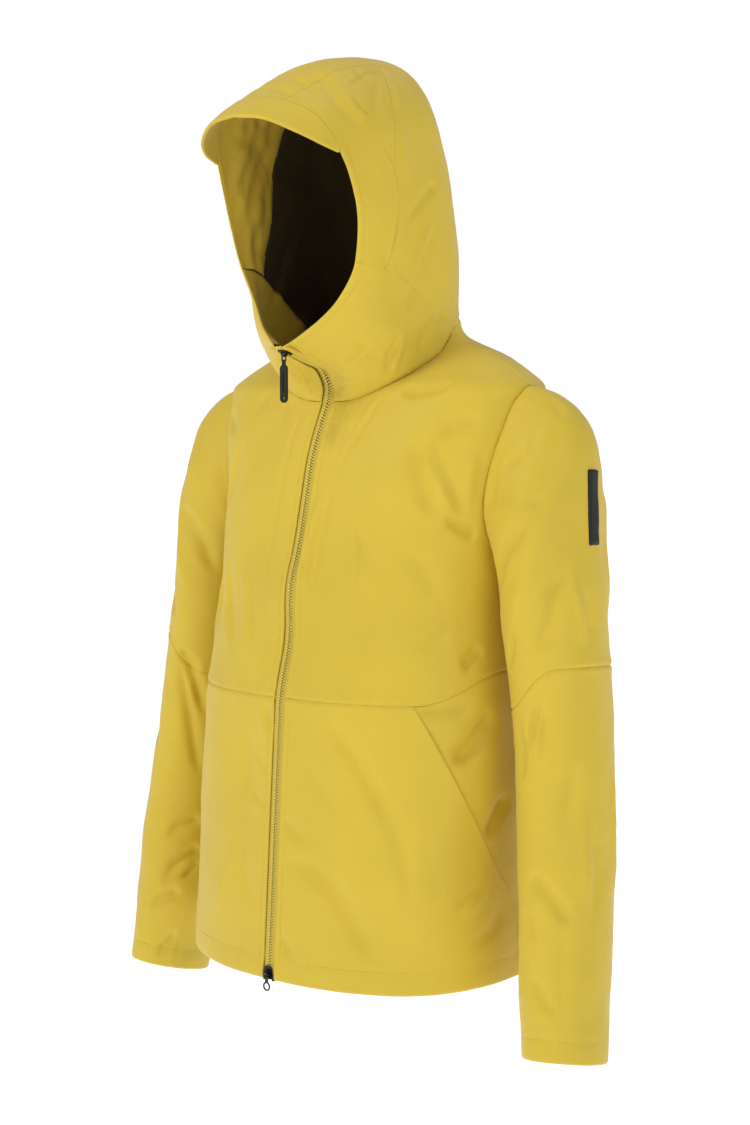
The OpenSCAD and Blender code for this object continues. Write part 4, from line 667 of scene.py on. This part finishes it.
# ------------------------------------------------------------------ sleeves
def armblend(ob):
    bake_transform(ob)
def elbblend(ob):
    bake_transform(ob)
def slpiece(name, k, t0, t1, L, step, edges, kind, off=0., th=TH, mat=M_SHELL, seed=0, lift=0., offfn=None):
    e = edges; v = ticks(L, step, 'b' in e, 't' in e); nc = int(330/step); a = np.linspace(0, 360, nc, endpoint=False)
    V, A = np.meshgrid(v, a, indexing='ij'); T = mix(t0(A), t1(A), V); B = sleeve0(A, T); N = sleeve_n(A, T)
    if lift: B = B+cap_dir(A)*(lift*(1-sm(V*L/6.)))[..., None]
    if k < 0: B = B*MX; N = N*MX
    D = Dslv(B, N, A, T, k)
    Bc = B; D = D+edgeshape(Bc, name, {q: w for q, w in edges.items()}, seed)
    o = off if offfn is None else offfn(A, T)
    P = B+N*(D-o)[..., None]
    ob = shellmesh(name, P, N, th, k, wrap=True, mat=mat); cloth_facts(ob, B, True, 'hung', ())
    if kind == 'up': armblend(ob)
    elif kind == 'low': elbblend(ob)
    else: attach(ob, kind)
    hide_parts(name); return ob
CF0 = 1-CUFF/640
EG = 0.
for k in (1, -1):
    n = SD[k]; one = lambda c: (lambda a: np.zeros_like(a)+c)
    slpiece(f"sleeve_upper_{n}", k, one(0.), elb, 270., 3., {'b': 'arm', 't': 'seam'}, 'up', seed=111+k, lift=0.)
    slpiece(f"sleeve_lower_{n}", k, lambda a: elb(a)+EG, one(1.), 390., 3., {'b': 'seam', 't': 'cuff'}, 'low', seed=115+k)
    slpiece(f"sleeve_lining_upper_{n}", k, one(.022), lambda a: elb(a)-.003, 260., 7., {}, 'up', off=3.6, th=LT, mat=M_LIN, seed=121)
    slpiece(f"sleeve_lining_lower_{n}", k, lambda a: elb(a)+.003, one(CF0-.006), 350., 7., {}, 'low', off=3.6, th=LT, mat=M_LIN, seed=123)
    slpiece(f"cuff_facing_{n}", k, one(CF0), one(.999), 26., 4., {}, f"forearm_{n}", off=1.9, th=TH, mat=M_FACE, seed=125)

# seam tapes stuck behind the armhole and neck seams
def backtube(name, C, NI, r, wrap):
    nr = len(C); T = unit(np.roll(C, -1, 0)-np.roll(C, 1, 0)) if wrap else unit(np.gradient(C, axis=0))
    X = unit(NI-T*np.sum(NI*T, -1, keepdims=True)); Y = np.cross(T, X); C2 = C+X*(r+.55)
    th = np.linspace(0, 2*pi, 10, endpoint=False)
    G = C2[:, None]+r*(X[:, None]*np.cos(th)[None, :, None]+Y[:, None]*np.sin(th)[None, :, None]); ids = np.arange(nr*10).reshape(nr, 10)
    J = np.arange(10); Jn = (J+1) % 10; I = np.arange(nr if wrap else nr-1); In = (I+1) % nr
    F = np.stack([ids[I][:, J], ids[I][:, Jn], ids[In][:, Jn], ids[In][:, J]], -1).reshape(-1, 4)
    if not wrap:
        cap = lambda w: [[w[i], w[i+1], w[8-i], w[9-i]] for i in range(4)]
        F = np.concatenate([F, np.array(cap(list(ids[0])))[:, ::-1], np.array(cap(list(ids[-1])))], 0)
    return build(name, row(G.reshape(-1, 3)), F, None, M_FACE)
for k in (1, -1):
    m = MX if k < 0 else np.ones(3); a = np.linspace(0, 360, 120, endpoint=False); uz = arm_uz(a); z0 = np.zeros_like(a)
    NI = -unit(body_n(uz[:, 0], uz[:, 1])+sleeve_n(a, z0+.004)); o = backtube(f"armhole_tape_{SD[k]}", sleeve0(a, z0)*m, NI*m, 2.4, True)
    armblend(o)
sq = np.linspace(.09, 1, 70); nz = neck_uz(sq); Cn = body0(nz[:, 0], nz[:, 1]); Nn = -unit(body_n(nz[:, 0], nz[:, 1])+hood_n(sq, np.zeros_like(sq)+.004)*.6)
Nn[-1, 0] = 0; o = backtube("neck_tape", np.concatenate([Cn, (Cn*MX)[::-1][1:]]), np.concatenate([Nn, (Nn*MX)[::-1][1:]]), 2.2, False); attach(o, 'torso')

# rubber patch on the left upper sleeve
def patch():
    hw, hl, r = 7.0, 33.0, 2.2; nu, nv = 22, 90; x = np.linspace(-1, 1, nu); y = np.linspace(-1, 1, nv)
    Y, X = np.meshgrid(y, x, indexing='ij'); rr = 1-.11*np.clip((np.abs(Y)-.93)/.07, 0, 1)**2
    a = -6+X*rr*hw/50*57.3; t = .149+Y*hl/1080.*1.0
    B = sleeve0(a, t); N = sleeve_n(a, t); D = Dslv(B, N, a, t, 1)
    ex = 1-np.abs(X); ey = (1-np.abs(Y))*hl/hw; d = np.minimum(ex, ey)*hw
    h = 2.0*(1-np.exp(-(d/.55)**1.2))-.55*np.exp(-((d-1.5)/.45)**2)
    cell = .16*np.sin(X*hw*2*pi/2.4)*np.sin(Y*hl*2*pi/2.4)*sm((d-1.8)/.8)
    P = B+N*(D+.25+h+cell)[..., None]
    ob = shellmesh("sleeve_patch", P, N, 1.4, 1, mat=M_RUB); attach(ob, "sleeve_left"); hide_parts("sleeve_patch"); return ob
patch()

# ------------------------------------------------------------------ zip
LC = 108.
def station(q):
    # q: mm along the chain from the hem
    q = np.asarray(q, float); zb = HEM+8+q; NBL = -2-HEM-8
    inb = q <= NBL; zc = np.minimum(zb, -2.); B = body0(0*zc, zc); N = body_n(0*zc, zc); D = Dbody(B, N); B = B+N*D[..., None]
    t = np.clip((q-NBL)/LC, 0, 1); H = hood0(0*t, t); HN = hood_n(0*t, t)
    P = np.where(inb[..., None], B, H); n = np.where(inb[..., None], N, HN); n = unit(n*np.array([0, 1, 1.]))
    return P, n
QT = (-2-HEM-8)+LC*.985
def tube_strip(name, k, prof, q, mat):
    P, n = station(q); Z = np.zeros_like(P); Z[:, 0] = 1
    G = np.stack([P+Z*(k*x)-n*d for x, d in prof], 1); nr, nc = G.shape[:2]; ids = np.arange(nr*nc).reshape(nr, nc)
    J = np.arange(nc); Jn = (J+1) % nc; I = np.arange(nr-1)
    F = np.stack([ids[I][:, J], ids[I][:, Jn], ids[I+1][:, Jn], ids[I+1][:, J]], -1).reshape(-1, 4)
    if nc % 2 == 0:
        cap = lambda r: [[r[i], r[i+1], r[nc-2-i], r[nc-1-i]] for i in range(nc//2-1)]
        F = np.concatenate([F, np.array(cap(list(ids[0])))[:, ::-1], np.array(cap(list(ids[-1])))], 0)
    if k < 0: F = F[:, ::-1]
    uv = np.zeros((nr*nc, 2)); uv[:, 1] = np.repeat(q, nc)/1000.; uv[:, 0] = np.tile([p[0] for p in prof], nr)/1000.
    return build(name, row(G.reshape(-1, 3)), F[:, ::-1], uv, mat)
def teeth(name, k):
    V = []; F = []; ph = .75 if k > 0 else 2.25; q = np.arange(ph, QT, 3.0); P, n = station(q); P2, n2 = station(q+.5); tz = unit(P2-P)
    X = np.array([1., 0, 0]); ht = 1.22
    # tooth outline across the chain: (x from centre, half length along chain)
    out = [(.38, .55), (.75, .95), (1.5, .98), (2.2, .62), (3.15, .66)]
    for i in range(len(q)):
        b = len(V); rows = []
        for x, hz in out:
            for dd, kk in ((-ht, .78), (-ht*.55, 1.), (ht*.55, 1.), (ht, .78)):
                for sg in (-1, 1): V.append(P[i]+X*(k*x)-n[i]*(TAPE+dd)+tz[i]*(sg*hz*kk))
        for a in range(len(out)-1):
            o = b+8*a; p = o+8
            ringi = [0, 2, 4, 6, 7, 5, 3, 1]
            for j in range(8):
                c0, c1 = ringi[j], ringi[(j+1) % 8]; F.append([o+c0, o+c1, p+c1, p+c0])
        for o, rv in ((b, 0), (b+8*(len(out)-1), 1)):
            for j in range(3):
                f = [o+2*j, o+2*j+1, o+2*j+3, o+2*j+2]; F.append(f if rv == 0 else f[::-1])
    ob = build(name, row(np.array(V)), np.array(F) if k < 0 else np.array(F)[:, ::-1], None, M_TEETH)
    for p in ob.data.polygons: p.use_smooth = False
    return ob
for k in (1, -1):
    n = SD[k]; q = np.concatenate([np.arange(-6.5, QT, 3.), [QT]])
    tp = tube_strip(f"zip_tape_{n}", k, [(2.2, TAPE-.4), (5.2, TAPE-.4), (7.2, TAPE+.1), (14, TAPE+.35), (14, TAPE+1.15), (7.2, TAPE+.9), (5.2, TAPE+.4), (2.2, TAPE+.4)], q, M_TAPE)
    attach(tp, "torso"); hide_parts(f"zip_tape_{n}")
    L = float(np.linalg.norm(np.diff(station(q)[0], axis=0), axis=1).sum())/1000
    c = [(3.1+.95*cos(g), TAPE+.95*sin(g)) for g in np.linspace(0, 2*pi, 10, endpoint=False)]
    bead = tube_strip(f"zip_cord_{n}", k, c, np.arange(0, QT, 2.), M_TAPE)
    th_ = teeth(f"zip_teeth_{n}", k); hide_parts(f"zip_teeth_{n}")
    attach(bead, "torso"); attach(th_, "torso")

# ------------------------------------------------------------------ stitching
STV = {}
def stitches(group, P, N, pitch=3.1, ln=2.1, r=.27, up=.12):
    seg = np.linalg.norm(np.diff(P, axis=0), axis=1); acc = np.concatenate([[0], np.cumsum(seg)]); L = acc[-1]
    if L < pitch: return
    m = np.arange(pitch, L-pitch, pitch); at = lambda x, A: np.stack([np.interp(x, acc, A[:, i]) for i in range(3)], -1)
    C = at(m, P); T = unit(at(m+.5, P)-at(m-.5, P)); n = unit(at(m, N)); S = unit(np.cross(T, n)); V = []
    for f, w in ((-.5, .25), (-.36, .85), (0, 1.), (.36, .85), (.5, .25)):
        for g in range(6):
            an = g*pi/3; V.append(C+T*(f*ln)+n*(up+r*w*(sin(an)*.8)-.10*(2*f)**2)[..., None] if False else C+T*(f*ln)+n*(up+r*w*sin(an)*.8-.16*(2*f)**2)+S*(r*w*cos(an)))
    V = np.stack(V, 1); k = V.shape[1]; F = []
    for a in range(4):
        for g in range(6): F.append([6*a+g, 6*a+(g+1) % 6, 6*a+6+(g+1) % 6, 6*a+6+g])
    F += [[3, 2, 1, 0], [5, 4, 3, 0], [24, 25, 26, 27], [24, 27, 28, 29]]
    F = np.array(F)[None]+(np.arange(len(m))*k)[:, None, None]
    STV.setdefault(group, []).append((V.reshape(-1, 3), F.reshape(-1, 4)))
def st_flush(group):
    L = STV.get(group)
    if not L: return None
    V = []; F = []; b = 0
    for v, f in L: V.append(v); F.append(f+b); b += len(v)
    return build(f"stitch_{group}", row(np.concatenate(V)), np.concatenate(F), None, M_THREAD)
def bcurve(q, k):
    B = body0(q[:, 0], q[:, 1]); N = body_n(q[:, 0], q[:, 1])
    if k < 0: B = B*MX; N = N*MX
    return B+N*Dbody(B, N)[:, None], N
def hcurve(s, t, k, dd=0.):
    B = hood0(s, t); N = hood_n(s, t)
    if k < 0: B = B*MX; N = N*MX
    return B+N*(Dhood(B, N, s, t)+dd)[:, None], N
def scurve(a, t, k, dd=0.):
    B = sleeve0(a, t); N = sleeve_n(a, t)
    if k < 0: B = B*MX; N = N*MX
    return B+N*(Dslv(B, N, a, t, k)+dd)[:, None], N
for k in (1, -1):
    n = SD[k]
    z = np.linspace(HEM+2, -4, 500); x = EDGE+6.6; P, N = bcurve(st(u_at(x, z), z), k); stitches("torso", P-N*.2, N)
    w = np.linspace(.01, 1, 400); q = st(mix(zip_u(HEM)+2, 180, w), HEM+24.); P, N = bcurve(q, k); stitches("torso", P-N*.35, N)
    t = np.linspace(.03, .985, 200); P, N = hcurve(.062+0*t, t, k); stitches("torso", P, N)
    s_ = np.linspace(.05, SC-.01, 200); P, N = hcurve(s_, 1-9./108+0*s_, k); stitches("torso", P-N*.1, N)
    s_ = np.linspace(SC+.01, SK-.01, 300); P, N = hcurve(s_, 1-9./300+0*s_, k); stitches("hood", P-N*.1, N)
    a = np.linspace(0, 360, 300); P, N = scurve(a, 1-23./390*.62+0*a, k); stitches(f"forearm_{n}", P-N*.3, N)
for gname, b in (("torso", "torso"), ("forearm_left", "forearm_left"), ("forearm_right", "forearm_right")):
    ob = st_flush(gname)
    if ob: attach(ob, b)
ob = st_flush("hood")
if ob: hoodblend(ob)

# ------------------------------------------------------------------ hardware kept from the CAD
for nm, m in (("slider_top", M_MET), ("slider_bottom", M_MET), ("pull_top", M_RUB), ("pull_bottom", M_MET), ("zip_box", M_PLA), ("zip_pin", M_PLA),
              ("zip_stop_left", M_TEETH), ("zip_stop_right", M_TEETH), ("hang_loop", M_WEB)):
    o = NOD[nm]; o.data.materials.clear(); o.data.materials.append(m)
    for p in o.data.polygons: p.material_index = 0
    bv = o.modifiers.new("edge", "BEVEL"); bv.width = .00022; bv.segments = 2; bv.limit_method = 'ANGLE'; bv.angle_limit = radians(35)

for ob, flat, held, rests, area in SHEETS:
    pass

# ------------------------------------------------------------------ floor, light, camera
fl_m, nt, b = newmat("floor"); tc = nt.nodes.new("ShaderNodeTexCoord"); vary(nt, b, (.9, .9, .9, 1), .01, 2., 2., tc.outputs["Object"]); b.inputs["Roughness"].default_value = .9
b.inputs["Emission Color"].default_value = (1, 1, 1, 1); b.inputs["Emission Strength"].default_value = .8
g = 60.; fo = build("floor", [(-g, -g, -1.9), (g, -g, -1.9), (g, g, -1.9), (-g, g, -1.9)], np.array([[0, 1, 2, 3]]), None, fl_m)
W = bpy.data.worlds.new("studio"); bpy.context.scene.world = W; W.use_nodes = True; bg = W.node_tree.nodes["Background"]; bg.inputs[0].default_value = (1, 1, 1, 1); bg.inputs[1].default_value = 1.0
lp = W.node_tree.nodes.new("ShaderNodeLightPath"); mr = W.node_tree.nodes.new("ShaderNodeMapRange"); mr.inputs["To Min"].default_value = .36; mr.inputs["To Max"].default_value = 1.0
W.node_tree.links.new(lp.outputs["Is Camera Ray"], mr.inputs["Value"]); W.node_tree.links.new(mr.outputs[0], bg.inputs[1])
def area(name, loc, aim, size, power):
    L = bpy.data.lights.new(name, 'AREA'); L.shape = 'DISK'; L.size = size; L.energy = power; L.color = (1, .985, .96)
    o = bpy.data.objects.new(name, L); bpy.context.scene.collection.objects.link(o); o.location = loc
    from mathutils import Vector
    o.rotation_euler = (Vector(aim)-Vector(loc)).to_track_quat('-Z', 'Y').to_euler(); return o
area("key", (-.9, -2.7, 2.1), (0, 0, -.3), 1.1, 47)
area("fill", (2.6, -1.0, .9), (0, 0, -.3), 1.6, 17)
area("top", (.2, .9, 2.6), (0, 0, -.2), 1.4, 10)
cam = bpy.data.cameras.new("cam"); cam.sensor_width = 36.; cam.lens = 65.09; cam.clip_end = 200.
co = bpy.data.objects.new("cam", cam); bpy.context.scene.collection.objects.link(co); bpy.context.scene.camera = co
bpy.context.scene.view_settings.view_transform = "Standard"
co.location = (1.4527, -1.7923, -.100); co.rotation_euler = (radians(85.43), 0, radians(40))
